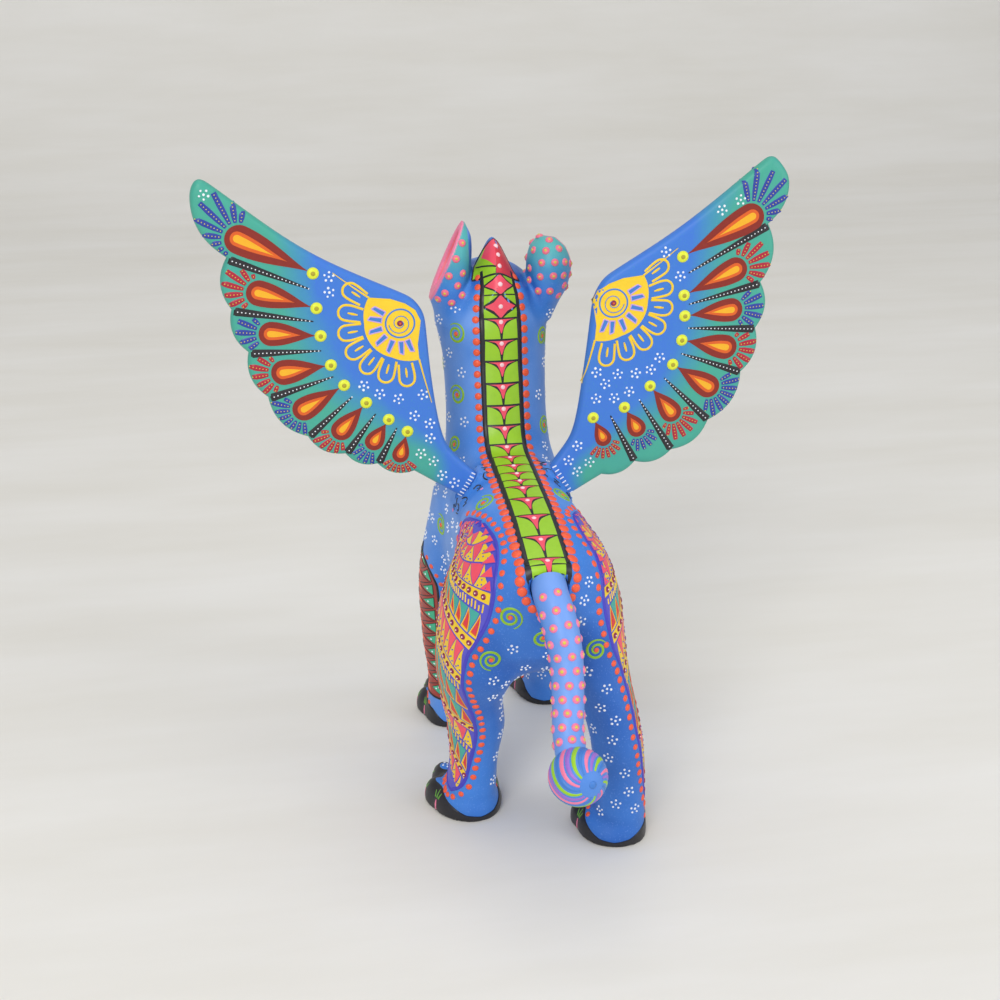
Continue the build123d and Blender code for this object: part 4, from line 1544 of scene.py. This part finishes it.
def draw_panel(name, slant):
    skin, edges = BODY_SKIN, HIND_PANELS[name]
    chart = panel_chart(name, edges, slant)
    heights = np.arange(edges[-1][0], edges[0][0] + 0.1, 1.0)
    low, high = smooth_curve(edges, heights).T
    back_edge, front_edge = np.stack((high, heights), 1), np.stack((low, heights), 1)
    outline = np.vstack((back_edge, front_edge[::-1]))
    scale = np.array((4.0, 1.0))
    fill(skin, lambda flat: LIMBS[name](flat * scale), outline / scale, "iris", 0.1, 1.3)
    loop = np.vstack((back_edge[::3], front_edge[::-3], back_edge[:1]))
    stroke(skin, LIMBS[name], loop, 1.5, "indigo", 0.32)
    for kind, start, end in PANEL_ROWS:
        if start < edges[-1][0] + 1:
            continue
        if kind == "band":
            band(skin, chart, start, end)
        elif kind == "hatch":
            hatch(skin, chart, start, end)
        else:
            teeth(skin, chart, start, end, (kind,))
    for edge, way in ((back_edge, -1), (front_edge, 1)):
        for h in np.arange(96.0, 118.0, 3.6):
            a = float(np.interp(h, edge[:, 1], edge[:, 0])) + 2.2 * way
            ray = ((a, h - 1.6), (a, h + 1.6), (a + way * (11 + 0.6 * (h - 96)), h - 0.6))
            shape(skin, LIMBS[name], ray, "iris", 0.29)
            shape(skin, LIMBS[name], ray, "coral", 0.36, 0.4)
    for edge, way in ((back_edge, 1), (front_edge, -1)):
        spots, normals = along_path(LIMBS[name], edge[::3], 3.6)
        line = unit(np.gradient(spots, axis=0))
        out = unit(np.cross(line, normals)) * way
        if out[len(out) // 2] @ np.array((0, way, 0)) < 0:
            out = -out
        for place, side in zip(spots, out):
            spot, normal = skin.nearest(place + side * 2.4)
            if clear(skin, spot, 0.5):
                dot(skin, spot, normal, 1.15 * DRAW.uniform(0.9, 1.08), 0.45, "orange")
    for place in chart([(v, w) for w in heights for v in np.linspace(-0.95, 0.95, 11)])[0]:
        TAKEN[skin].append((*place, 3.2))


FORE_EDGES = (  # height, front edge, back edge in degrees
    (74.0, -12, 6),
    (71.0, -34, 28),
    (67.0, -46, 50),
    (61.0, -54, 66),
    (50.0, -58, 72),
    (36.0, -58, 74),
    (22.0, -56, 74),
    (14.0, -50, 70),
    (11.5, -40, 60),
)


def draw_foreleg(name):
    skin = BODY_SKIN
    chart = panel_chart(name, FORE_EDGES, 0.0)
    heights = np.arange(11.5, 74.1, 1.0)
    low, high = smooth_curve(FORE_EDGES, heights).T
    back_edge, front_edge = np.stack((high, heights), 1), np.stack((low, heights), 1)
    scale = np.array((6.0, 1.0))
    outline = np.vstack((back_edge, front_edge[::-1]))
    fill(skin, lambda flat: LIMBS[name](flat * scale), outline / scale, "brick", 0.1, 1.3)
    loop = np.vstack((back_edge[::3], front_edge[::-3], back_edge[:1]))
    stroke(skin, LIMBS[name], loop, 1.1, "black", 0.32)
    rows = np.arange(13.0, 70.0, 5.6)
    for w in rows:
        for side in (1, -1):
            outer = ((side * 0.86, w + 0.2), (side * 0.86, w + 5.0), (side * 0.34, w + 2.6))
            shape(skin, chart, outer, "black", 0.17)
            shape(skin, chart, outer, "mint", 0.23, 0.5)
            spot = chart([(side * 0.62, w + 2.6)])
            dot(skin, spot[0][0] + spot[1][0] * 0.1, spot[1][0], 0.5, 0.3, "white", 7)
            wedge = ((side * 0.05, w + 2.9), (side * 0.8, w + 5.5), (side * 0.05, w + 8.0))
            stroke(skin, chart, wedge, 0.45, "black", 0.26, smooth=False)
        shape(skin, chart, ((-0.3, w), (0.3, w), (0.0, w + 5.0)), "orange", 0.17, 0.5)
    for edge, way in ((back_edge, 1), (front_edge, -1)):
        spots, normals = along_path(LIMBS[name], edge[::3], 3.3)
        out = unit(np.cross(unit(np.gradient(spots, axis=0)), normals))
        if out[len(out) // 2] @ np.array((0, way, 0)) < 0:
            out = -out
        for place, side in zip(spots, out):
            spot, normal = skin.nearest(place + side * 2.0)
            if clear(skin, spot, 0.4):
                dot(skin, spot, normal, 1.0 * DRAW.uniform(0.9, 1.08), 0.4, "orange")
    for place in chart([(v, w) for w in heights for v in (-0.8, 0, 0.8)])[0]:
        TAKEN[skin].append((*place, 2.4))


# ---------------------------------------------------------------------------------------------
# Paws
# ---------------------------------------------------------------------------------------------
def draw_paw(name, ankle):
    """Black foot with orange dots at the ankle, green leaves and pink claws on the toes."""
    skin = BODY_SKIN
    px, py, _, _, heading = PAWS[name]
    t = math.radians(heading)
    ahead, aside = np.array((math.sin(t), -math.cos(t))), np.array((math.cos(t), math.sin(t)))
    middle = np.array((SPINE + px, py))

    def foot(flat):
        """Round the foot: degrees from straight ahead to the left, and height."""
        flat = np.asarray(flat, float)
        turn = np.radians(flat[:, 0])[:, None]
        way = np.cos(turn) * ahead + np.sin(turn) * aside
        start = np.column_stack((np.tile(middle, (len(flat), 1)), flat[:, 1]))
        return skin.cast(start, np.column_stack((way, np.zeros(len(flat)))))

    low = np.linspace(-180, 180, 161)[:-1]
    rim = np.interp(np.abs(low), (0, 70, 110, 140, 160, 180), (9.6, 9.0, 8.2, ankle, 2.6, 1.8))
    rows = []
    for share in np.linspace(0.0, 1.0, 15):
        places, normals = foot(np.stack((low, 0.25 + (rim - 0.25) * share), 1))
        lift = 0.3 if share < 0.99 else -0.1
        rows.append(places + normals * lift)
    rows.append(np.column_stack((rows[-1][:, :2] * 0.4 + middle * 0.6, rows[-1][:, 2])))
    rows.insert(0, np.column_stack((rows[0][:, :2] * 0.4 + middle * 0.6, rows[0][:, 2])))
    gather(skin, "black", *ring_mesh(np.stack(rows)))
    for a in (-104, -62, -22, 22, 62, 104):
        stroke(skin, foot, ((a, 1.0), (a, 4.4)), (1.5, 1.7, 0.7), "pink", 0.4)
        for b, length in ((-9, 2.4), (0, 3.2), (9, 2.4)):
            stroke(skin, foot, ((a + b * 0.5, 5.0), (a + b, 5.0 + length * 0.8)), (1.1, 0.4), "green", 0.4)
    for a in range(-126, 127, 14):
        h = float(np.interp(abs(a), (0, 70, 110, 130), (10.4, 9.9, 9.0, 7.4)))
        spot = foot([(a, h)])
        dot(skin, spot[0][0], spot[1][0], 0.95, 0.4, "orange")
    for place in foot([(a, h) for a in range(-180, 180, 20) for h in (2.0, 5.0)])[0]:
        TAKEN[skin].append((*place, 2.0))


# ---------------------------------------------------------------------------------------------
# Wings' paint
# ---------------------------------------------------------------------------------------------
WING_DOTS = {
    "left_wing": (
        (58.6, 183.4),
        (57.9, 172.2),
        (56.9, 163.2),
        (54.0, 153.5),
        (50.0, 146.6),
        (43.1, 140.4),
        (36.0, 134.3),
        (30.0, 129.9),
    ),
    "right_wing": (
        (-60.0, 183.8),
        (-60.9, 171.0),
        (-61.4, 164.1),
        (-60.7, 156.0),
        (-57.9, 147.9),
        (-50.5, 140.9),
        (-42.0, 134.0),
        (-31.5, 131.0),
    ),
}
SUNS = {"left_wing": (31.7, 166.1), "right_wing": (-37.5, 169.5)}
DROP_LENGTHS = (28.7, 21.7, 18.6, 18.2, 17.8, 14.6, 10.9, 10.1)
DROP_WIDTHS = (9.2, 8.2, 7.8, 8.2, 7.8, 7.0, 6.1, 5.4)
FANS = (  # strokes, length, spread in degrees
    (9, 11.0, 150),
    (7, 7.4, 120),
    (7, 6.6, 120),
    (7, 6.6, 120),
    (8, 6.6, 125),
    (8, 5.8, 130),
    (8, 4.4, 130),
    (8, 3.8, 130),
)


class WingSkin(Skin):
    """One face of a wing, painted in the wing's own plane (x, z)."""

    def __init__(self, name, face, points, faces):
        super().__init__(points, faces)
        self.name, self.face = name, face
        self.body, self.slot = name, "painted_wing"

    def chart(self, flat):
        flat = np.asarray(flat, float)
        y = WING_Y + self.face * half_thickness(flat, self.name)
        normals = np.tile((0.0, float(self.face), 0.0), (len(flat), 1))
        return np.stack((flat[:, 0], y, flat[:, 1]), 1), normals


def teardrop(point, end, width):
    """A drop with its point at one place and its round end at another."""
    point, end = np.array(point), np.array(end)
    way = end - point
    length, radius = np.linalg.norm(way), width / 2
    way = way / length
    aside = np.array((-way[1], way[0]))
    neck = np.linspace(0, 1, 16)
    turn = np.linspace(math.pi / 2, 0, 9)[1:]
    along = np.concatenate((neck * (length - radius), length - radius + radius * np.cos(turn)))
    half = np.concatenate((radius * np.sin(neck * math.pi / 2) ** 1.25, radius * np.sin(turn)))
    middle = point + np.outer(along, way)
    return np.vstack((middle + half[:, None] * aside, (middle - half[:, None] * aside)[-2:0:-1]))


def draw_feather(skin, k):
    name = skin.name
    dots, notches = np.array(WING_DOTS[name]), np.array(WINGS[name]["notches"])
    side = 1 if name == "left_wing" else -1
    middle = (notches[k] + notches[k + 1]) / 2
    if k == 0:
        middle = notches[0] * 0.42 + notches[1] * 0.58 + np.array((-side * 1.5, 0))
    way = unit(middle - dots[k])
    start = dots[k] + way * 1.6
    end = dots[k] + way * (DROP_LENGTHS[k] + 0.8)
    fill(skin, skin.chart, teardrop(start, end, DROP_WIDTHS[k]), "darkred", 0.1, 0.9)
    aim, inner = end - start, unit(end - start)
    layers = ((0.26, 1.6, 0.5, "flame", 0.16), (0.42, 2.6, 0.26, "sunny", 0.22))
    for ahead, short, slim, colour, lift in layers:
        drop = teardrop(start + aim * ahead, end - inner * short, DROP_WIDTHS[k] * slim)
        fill(skin, skin.chart, drop, colour, lift, 0.9)
    place, normal = (v[0] for v in skin.chart([dots[k]]))
    dot(skin, place, normal, 2.0, 0.6, "limon", 18)
    dot(skin, place + normal * 0.5, normal, 0.8, 0.25, "olive", 10)
    heart = end - inner * DROP_WIDTHS[k] * 0.45
    count, length, spread = FANS[k]
    colour = ("navy", "crimson")[k % 2]
    limit = wing_limit(skin)
    quills = [np.array(quill(name, q)) for q in (k, k + 1) if 0 < q < 8]
    for n in range(count):
        turn = math.radians(spread * (n / (count - 1) - 0.5))
        c, s = math.cos(turn), math.sin(turn)
        ray = np.array((inner[0] * c - inner[1] * s, inner[0] * s + inner[1] * c))
        a = DROP_WIDTHS[k] * 0.5 + 0.5
        reach = np.arange(a, a + length, 0.3)
        spots = heart + np.outer(reach, ray)
        free = inside_line(spots + ray * 0.7, limit)
        for line in quills:
            free &= edge_distance(spots, line) > 1.7
        b = reach[-1] if free.all() else reach[np.argmin(free)]
        if b - a < 1.2:
            continue
        path = (heart + ray * a, heart + ray * b)
        width = min(2.2, (a + b) / 2 * math.radians(spread) / count * 1.0)
        stroke(skin, skin.chart, path, (0.6 * width, width, 1.1 * width, 0.9 * width), colour, 0.16)
        for share in np.arange(0.7, b - a, 1.05):
            place, normal = (v[0] for v in skin.chart([heart + ray * (a + share)]))
            dot(skin, place + normal * 0.1, normal, 0.27, 0.16, "straw", 6)
    for place in skin.chart(refine(np.array((start, end + inner * length)), 2.0, closed=False))[0]:
        TAKEN[skin].append((*place, 4.2))


def wing_limit(skin):
    return WING_LINES[skin.name][0]


def quill(name, k):
    """Outer and inner end of the line between two feathers."""
    dots, notch = np.array(WING_DOTS[name]), np.array(WINGS[name]["notches"][k])
    inner = (dots[k - 1] + dots[k]) / 2
    return notch + unit(inner - notch) * 0.7, inner + (notch - inner) * 0.06


def draw_divider(skin, k):
    """The black quill between two feathers, running in from their notch."""
    outer, inner = quill(skin.name, k)
    stroke(skin, skin.chart, (outer, inner), (3.4, 2.9, 2.2, 1.5, 0.5), "black", 0.16)
    length = np.linalg.norm(inner - outer)
    for share in np.arange(1.2, length, 1.25):
        place, normal = (v[0] for v in skin.chart([outer + (inner - outer) * share / length]))
        dot(skin, place + normal * 0.1, normal, 0.3, 0.18, "white", 6)
        TAKEN[skin].append((*place, 0.8))


def draw_sun(skin):
    """Half a sun at the wing's elbow: a spiral heart, rays and a ring of petals."""
    side = 1 if skin.name == "left_wing" else -1
    heart = np.array(SUNS[skin.name])

    def sun(flat):
        """Degrees from straight out towards down, and distance from the heart."""
        flat = np.asarray(flat, float)
        turn = np.radians(flat[:, 0])
        spot = np.stack((side * np.cos(turn), -np.sin(turn)), 1) * flat[:, 1:]
        return skin.chart(heart + spot)

    def flat_sun(a, r):
        turn = math.radians(a)
        return heart + r * np.array((side * math.cos(turn), -math.sin(turn)))

    share = np.linspace(0, 1, 24)
    radii = np.interp(share, (0, 0.25, 0.75, 1), (13.2, 11.4, 11.4, 13.6))
    disc = [flat_sun(a, r) for a, r in zip(np.linspace(-42, 116, 24), radii)]
    behind_heart = ((128, 9.0), (150, 7.0), (185, 6.6), (220, 6.4), (255, 6.6), (290, 8.6))
    upper = [flat_sun(a, r) for a, r in behind_heart]
    fill(skin, skin.chart, disc + upper, "yellow", 0.1, 1.0)
    circle = [flat_sun(a, 4.6) for a in np.linspace(0, 360, 40)]
    stroke(skin, skin.chart, circle, 0.8, "azure", 0.2, smooth=False)
    angle = np.linspace(0.9, 2.15 * math.tau, 60)
    coil = [flat_sun(-math.degrees(a) * 1.0 + 60, 3.55 * a / angle[-1]) for a in angle]
    stroke(skin, skin.chart, coil, 0.42, "azure", 0.2)
    place, normal = (v[0] for v in skin.chart([heart]))
    dot(skin, place, normal, 1.05, 0.4, "maroon", 12)
    dot(skin, place + normal * 0.3, normal, 0.5, 0.25, "flame", 8)
    for a in (-33, -12, 14, 40, 66, 92, 112):
        ray = [flat_sun(a - 8, 6.0), flat_sun(a + 8, 6.0), flat_sun(a + 3.5, 10.4), flat_sun(a - 3.5, 9.8)]
        fill(skin, skin.chart, ray, "azure", 0.17, 0.9)
        stroke(skin, skin.chart, ray + ray[:1], 0.55, "lavender", 0.25, smooth=False, spacing=0.5)
    for a, r in ((-36, 13.8), (-14, 12.2), (8, 12.0), (30, 12.0), (52, 12.0), (74, 12.2), (96, 13.2)):
        width = 2.5
        arch = []
        for t in np.linspace(0, math.pi, 9):
            arch.append((width * math.cos(t), 5.3 + width * math.sin(t)))
        arch = [(width * 0.86, 0.2)] + arch + [(-width * 0.86, 0.2)]
        turn = math.radians(a)
        out = np.array((side * math.cos(turn), -math.sin(turn)))
        across = np.array((-out[1], out[0]))
        petal = [heart + out * (r + q) + across * p for p, q in arch]
        stroke(skin, skin.chart, petal, 0.95, "yellow", 0.22)
        vein = [heart + out * (r + 1.6), heart + out * (r + 4.8)]
        stroke(skin, skin.chart, vein, (0.5, 1.0, 0.6), "yellow", 0.22)
    for tail_line in (((-42, 13.0), (-40, 20.0), (-39.5, 27.0)), ((116, 13.4), (112, 20.0), (110, 28.5))):
        line = [flat_sun(a, r) for a, r in tail_line]
        stroke(skin, skin.chart, line, (0.8, 0.5, 0.25), "yellow", 0.2)
    for a in range(-40, 121, 12):
        for r in (0, 4, 9, 14, 18):
            TAKEN[skin].append((*sun([(a, r)])[0][0], 3.0))


def draw_wing(name, face, points, faces):
    skin = WingSkin(name, face, points, faces)
    for k in range(8):
        draw_feather(skin, k)
        if k:
            draw_divider(skin, k)
    draw_sun(skin)
    side = 1 if name == "left_wing" else -1
    root = np.array(ROOTS[name])
    seam = root[0] + (root[1] - root[0]) * np.linspace(0.05, 0.95, 8)[:, None]
    inwards = unit(np.array((side * 0.85, 0.53)))
    for p in seam:
        stroke(skin, skin.chart, (p + inwards * 0.4, p + inwards * 1.9), 0.5, "white", 0.2)
    outline = WING_LINES[name][0]
    spots = np.random.default_rng(3).permutation(fill_points(outline, 1.0, 3.2))
    places, normals = skin.chart(spots)

    def put(k):
        flower(skin, places[k], normals[k], 1.45, DRAW.uniform(0, math.tau))

    strew(skin, places, 2.2, 2.3, put)


# ---------------------------------------------------------------------------------------------
# Tail's and ears' paint
# ---------------------------------------------------------------------------------------------
def near_rump(place):
    """Whether a dot here would rub on the rump at some angle of the tail."""
    middle = TAIL_ROOT + TAIL_AIM * ((place - TAIL_ROOT) @ TAIL_AIM)
    arm = place - middle
    for turn in np.radians(range(-45, 46, 9)):
        spot = middle + arm * math.cos(turn) + np.cross(TAIL_AIM, arm) * math.sin(turn)
        if np.linalg.norm(BODY_SKIN.nearest(spot)[0] - spot) < 2.2:
            return True
    return False


def draw_tail():
    skin = Skin(*ring_mesh(tail_skin(tail_s, tail_a)[0]))
    skin.body, skin.slot = "tail", "painted_tail"
    for row, s in enumerate(np.arange(6.0, TAIL_LENGTH - 3, 4.4)):
        for k in range(7):
            place, normal = tail_skin(np.array([s]), np.array([(k + 0.5 * (row % 2)) * math.tau / 7]))
            if near_rump(place[0]):
                continue
            dot(skin, place[0], normal[0], 1.4, 0.5, "pink", 10)
            dot(skin, place[0] + normal[0] * 0.45, normal[0], 0.62, 0.22, "straw", 7)
    tuft_mesh = Skin(*ring_mesh(tuft_skin(tuft_t, tuft_a)))
    tuft_mesh.body, tuft_mesh.slot = "tail", "painted_tail"

    def chart(flat):
        flat = np.asarray(flat, float)
        t, angle = flat[:, 0], np.radians(flat[:, 1])
        places = tuft_skin(t, angle)
        return tuft_mesh.cast(TUFT_CENTRE + (places - TUFT_CENTRE) * 3, -unit(places - TUFT_CENTRE))

    colours = ("lime", "plumlight", "pink", "azure")
    for k in range(20):
        path = [(t, k * 18 + 55 * t) for t in np.linspace(-0.93, 0.90, 16)]
        widths = [tuft_radius(np.array(t)) * 0.2 for t in np.linspace(-0.93, 0.90, 9)]
        stroke(tuft_mesh, chart, path, widths, colours[k % 4], 0.14)
    place, normal = tuft_mesh.nearest(TUFT_CENTRE + TUFT_AIM * 9)
    dot(tuft_mesh, place, normal, 1.3, 0.4, "azure")


def draw_ear(side, points, faces):
    skin = Skin(points, faces)
    skin.body, skin.slot = "carving", "painted_ear"
    x, y, z = points[:, 0] - SPINE, points[:, 1], points[:, 2]
    normals = slope(points, one_ear(side))
    on_egg = (np.abs(ear_field(x, y, z, side)) < 0.35) & (x * side > 11.0)
    outside = np.flatnonzero(on_egg & (rim_depth(x, y, z, side) < -1.7) & (z > 163))
    chosen = np.random.default_rng(5).permutation(outside)

    def put(k):
        place, normal = points[chosen[k]], normals[chosen[k]]
        dot(skin, place, normal, 1.35, 0.5, "rose", 12)
        dot(skin, place + normal * 0.5, normal, 0.55, 0.22, "straw", 7)

    strew(skin, points[chosen], 2.5, 1.35, put)


draw_strip()
draw_tail_root()
draw_crest()
draw_face()
draw_sockets()
for name, slant in (("left_hind", 9.0), ("right_hind", 9.0)):
    draw_panel(name, slant)
for name in ("left_fore", "right_fore"):
    draw_foreleg(name)
for name, ankle in (("left_hind", 5.0), ("right_hind", 5.0), ("left_fore", 6.5), ("right_fore", 6.5)):
    draw_paw(name, ankle)
SPIRALS = (  # x from the spine, y, z, radius, turned to the left or right, start
    (14.6, -40.8, 152.9, 3.6, 1, 0.4),
    (14.7, -39.0, 131.9, 3.6, 1, 1.2),
    (-15.3, -42.6, 150.2, 3.6, -1, 0.8),
    (-15.1, -36.5, 120.2, 3.4, -1, 2.0),
    (16.7, -35.6, 115.4, 3.2, 1, 2.4),
    (22.2, -28.2, 89.1, 3.9, 1, 0.2),
    (13.3, 6.0, 109.6, 3.9, 1, 1.0),
    (11.8, 46.6, 87.0, 4.0, -1, 0.6),
    (17.0, 43.6, 71.2, 3.8, 1, 2.8),
    (1.3, 45.9, 79.3, 4.0, 1, 0.0),
    (-15.6, 46.6, 74.0, 3.6, -1, 2.4),
    (-22.2, -28.2, 89.1, 3.9, -1, 0.2),
    (-13.3, 4.0, 109.6, 3.9, -1, 1.0),
    (18.0, -57.0, 138.0, 3.6, 1, 1.0),
    (-18.0, -57.0, 138.0, 3.6, -1, 1.0),
    (20.0, -2.0, 75.0, 4.2, 1, 0.5),
    (-20.0, -2.0, 75.0, 4.2, -1, 0.5),
)
for x, y, z, radius, hand, start in SPIRALS:
    spiral(BODY_SKIN, (SPINE + x, y, z), radius, 2.3, hand, start)
places = random_places(body_points, body_faces, 7000, 11)
places = places[(places[:, 2] > 9.0) & (places[:, 2] < 168.0)]


def put_flower(k):
    flower(BODY_SKIN, *BODY_SKIN.nearest(places[k]), 1.5, DRAW.uniform(0, 6))


strew(BODY_SKIN, places, 3.4, 2.5, put_flower)
for wing_name, (points, faces) in WING_MESHES.items():
    for face in (1, -1):
        draw_wing(wing_name, face, points, faces)
draw_tail()
for ear_name, side in (("left_ear", 1), ("right_ear", -1)):
    draw_ear(side, *ear_meshes[ear_name])

for (body_name, slot_name, colour), (parts, faces, _) in PAINTED.items():
    piece = f"paint_{body_name}_{slot_name}_{colour}"
    places, paint = np.concatenate(parts), PAINTS[colour]
    shape_object = mesh_object(piece, places, faces, paint, body_name, None)
    shape_object.data.set_sharp_from_angle(angle=math.radians(60))

# ---------------------------------------------------------------------------------------------
# Floor, light and camera
# ---------------------------------------------------------------------------------------------
def make_stage():
    """A plain pale table top that fades into a pale wall, without a corner."""
    n = Nodes("floor_paint", 0.75)
    grain = n.noise(90.0, 5.0, 0.55, (0.4, 1.8, 1.0))
    n.colour(n.ramp(grain, ((0.3, srgb("e3e0d8")), (0.7, srgb("ebe9e4")))))
    profile = [(3500.0, 0.0), (-900.0, 0.0)]
    bend = np.linspace(0, math.pi / 2, 13)[1:]
    profile += [(-900 - 500 * math.sin(a), 500 - 500 * math.cos(a)) for a in bend]
    profile.append((-1400.0, 1800.0))
    rows = [[(-3500.0, y, z), (3500.0, y, z)] for y, z in profile]
    faces = [(2 * k, 2 * k + 1, 2 * k + 3, 2 * k + 2) for k in range(len(rows) - 1)]
    mesh = bpy.data.meshes.new("floor")
    mesh.from_pydata([tuple(c * MM for c in p) for row in rows for p in row], [], faces)
    mesh.polygons.foreach_set("use_smooth", [True] * len(faces))
    mesh.materials.append(n.material)
    floor = bpy.data.objects.new("floor", mesh)
    bpy.context.scene.collection.objects.link(floor)


def area_light(name, place, target, size, power, colour=(1, 1, 1)):
    data = bpy.data.lights.new(name, "AREA")
    data.shape, data.size, data.energy, data.color = "DISK", size, power, colour
    light = bpy.data.objects.new(name, data)
    light.location = place
    light.rotation_mode = "QUATERNION"
    light.rotation_quaternion = (Vector(target) - Vector(place)).to_track_quat("-Z", "Y")
    bpy.context.scene.collection.objects.link(light)


def make_light():
    """Soft daylight from above, a little stronger from the left and behind the camera."""
    middle = (0, 0, 0.1)
    area_light("window", (0.65, 1.35, 0.95), middle, 0.9, 15.0, (1.0, 0.985, 0.96))
    area_light("ceiling", (-0.1, -0.1, 1.5), middle, 1.4, 6.0)
    area_light("wall_bounce", (-1.1, 0.9, 0.5), middle, 1.0, 6.0, (0.95, 0.97, 1.0))
    world = bpy.data.worlds.new("room")
    world.use_nodes = True
    world.node_tree.nodes["Background"].inputs[0].default_value = (0.93, 0.95, 1.0, 1.0)
    world.node_tree.nodes["Background"].inputs[1].default_value = 0.46
    bpy.context.scene.world = world
    bpy.context.scene.view_settings.view_transform = "Standard"


def make_camera():
    """Stands behind the cat, ten degrees to its left, looking down by twenty-one degrees."""
    azimuth, elevation, distance = math.radians(170), math.radians(21), 0.600
    level = math.cos(elevation)
    back = Vector((math.sin(azimuth) * level, -math.cos(azimuth) * level, math.sin(elevation)))
    target = Vector((0.0000, -0.0074, 0.1050))
    data = bpy.data.cameras.new("camera")
    data.sensor_width, data.lens = 36.0, 65.45
    camera = bpy.data.objects.new("camera", data)
    camera.location = target + back * distance
    camera.rotation_mode = "QUATERNION"
    camera.rotation_quaternion = (-back).to_track_quat("-Z", "Y")
    bpy.context.scene.collection.objects.link(camera)
    bpy.context.scene.camera = camera


make_stage()
make_light()
make_camera()
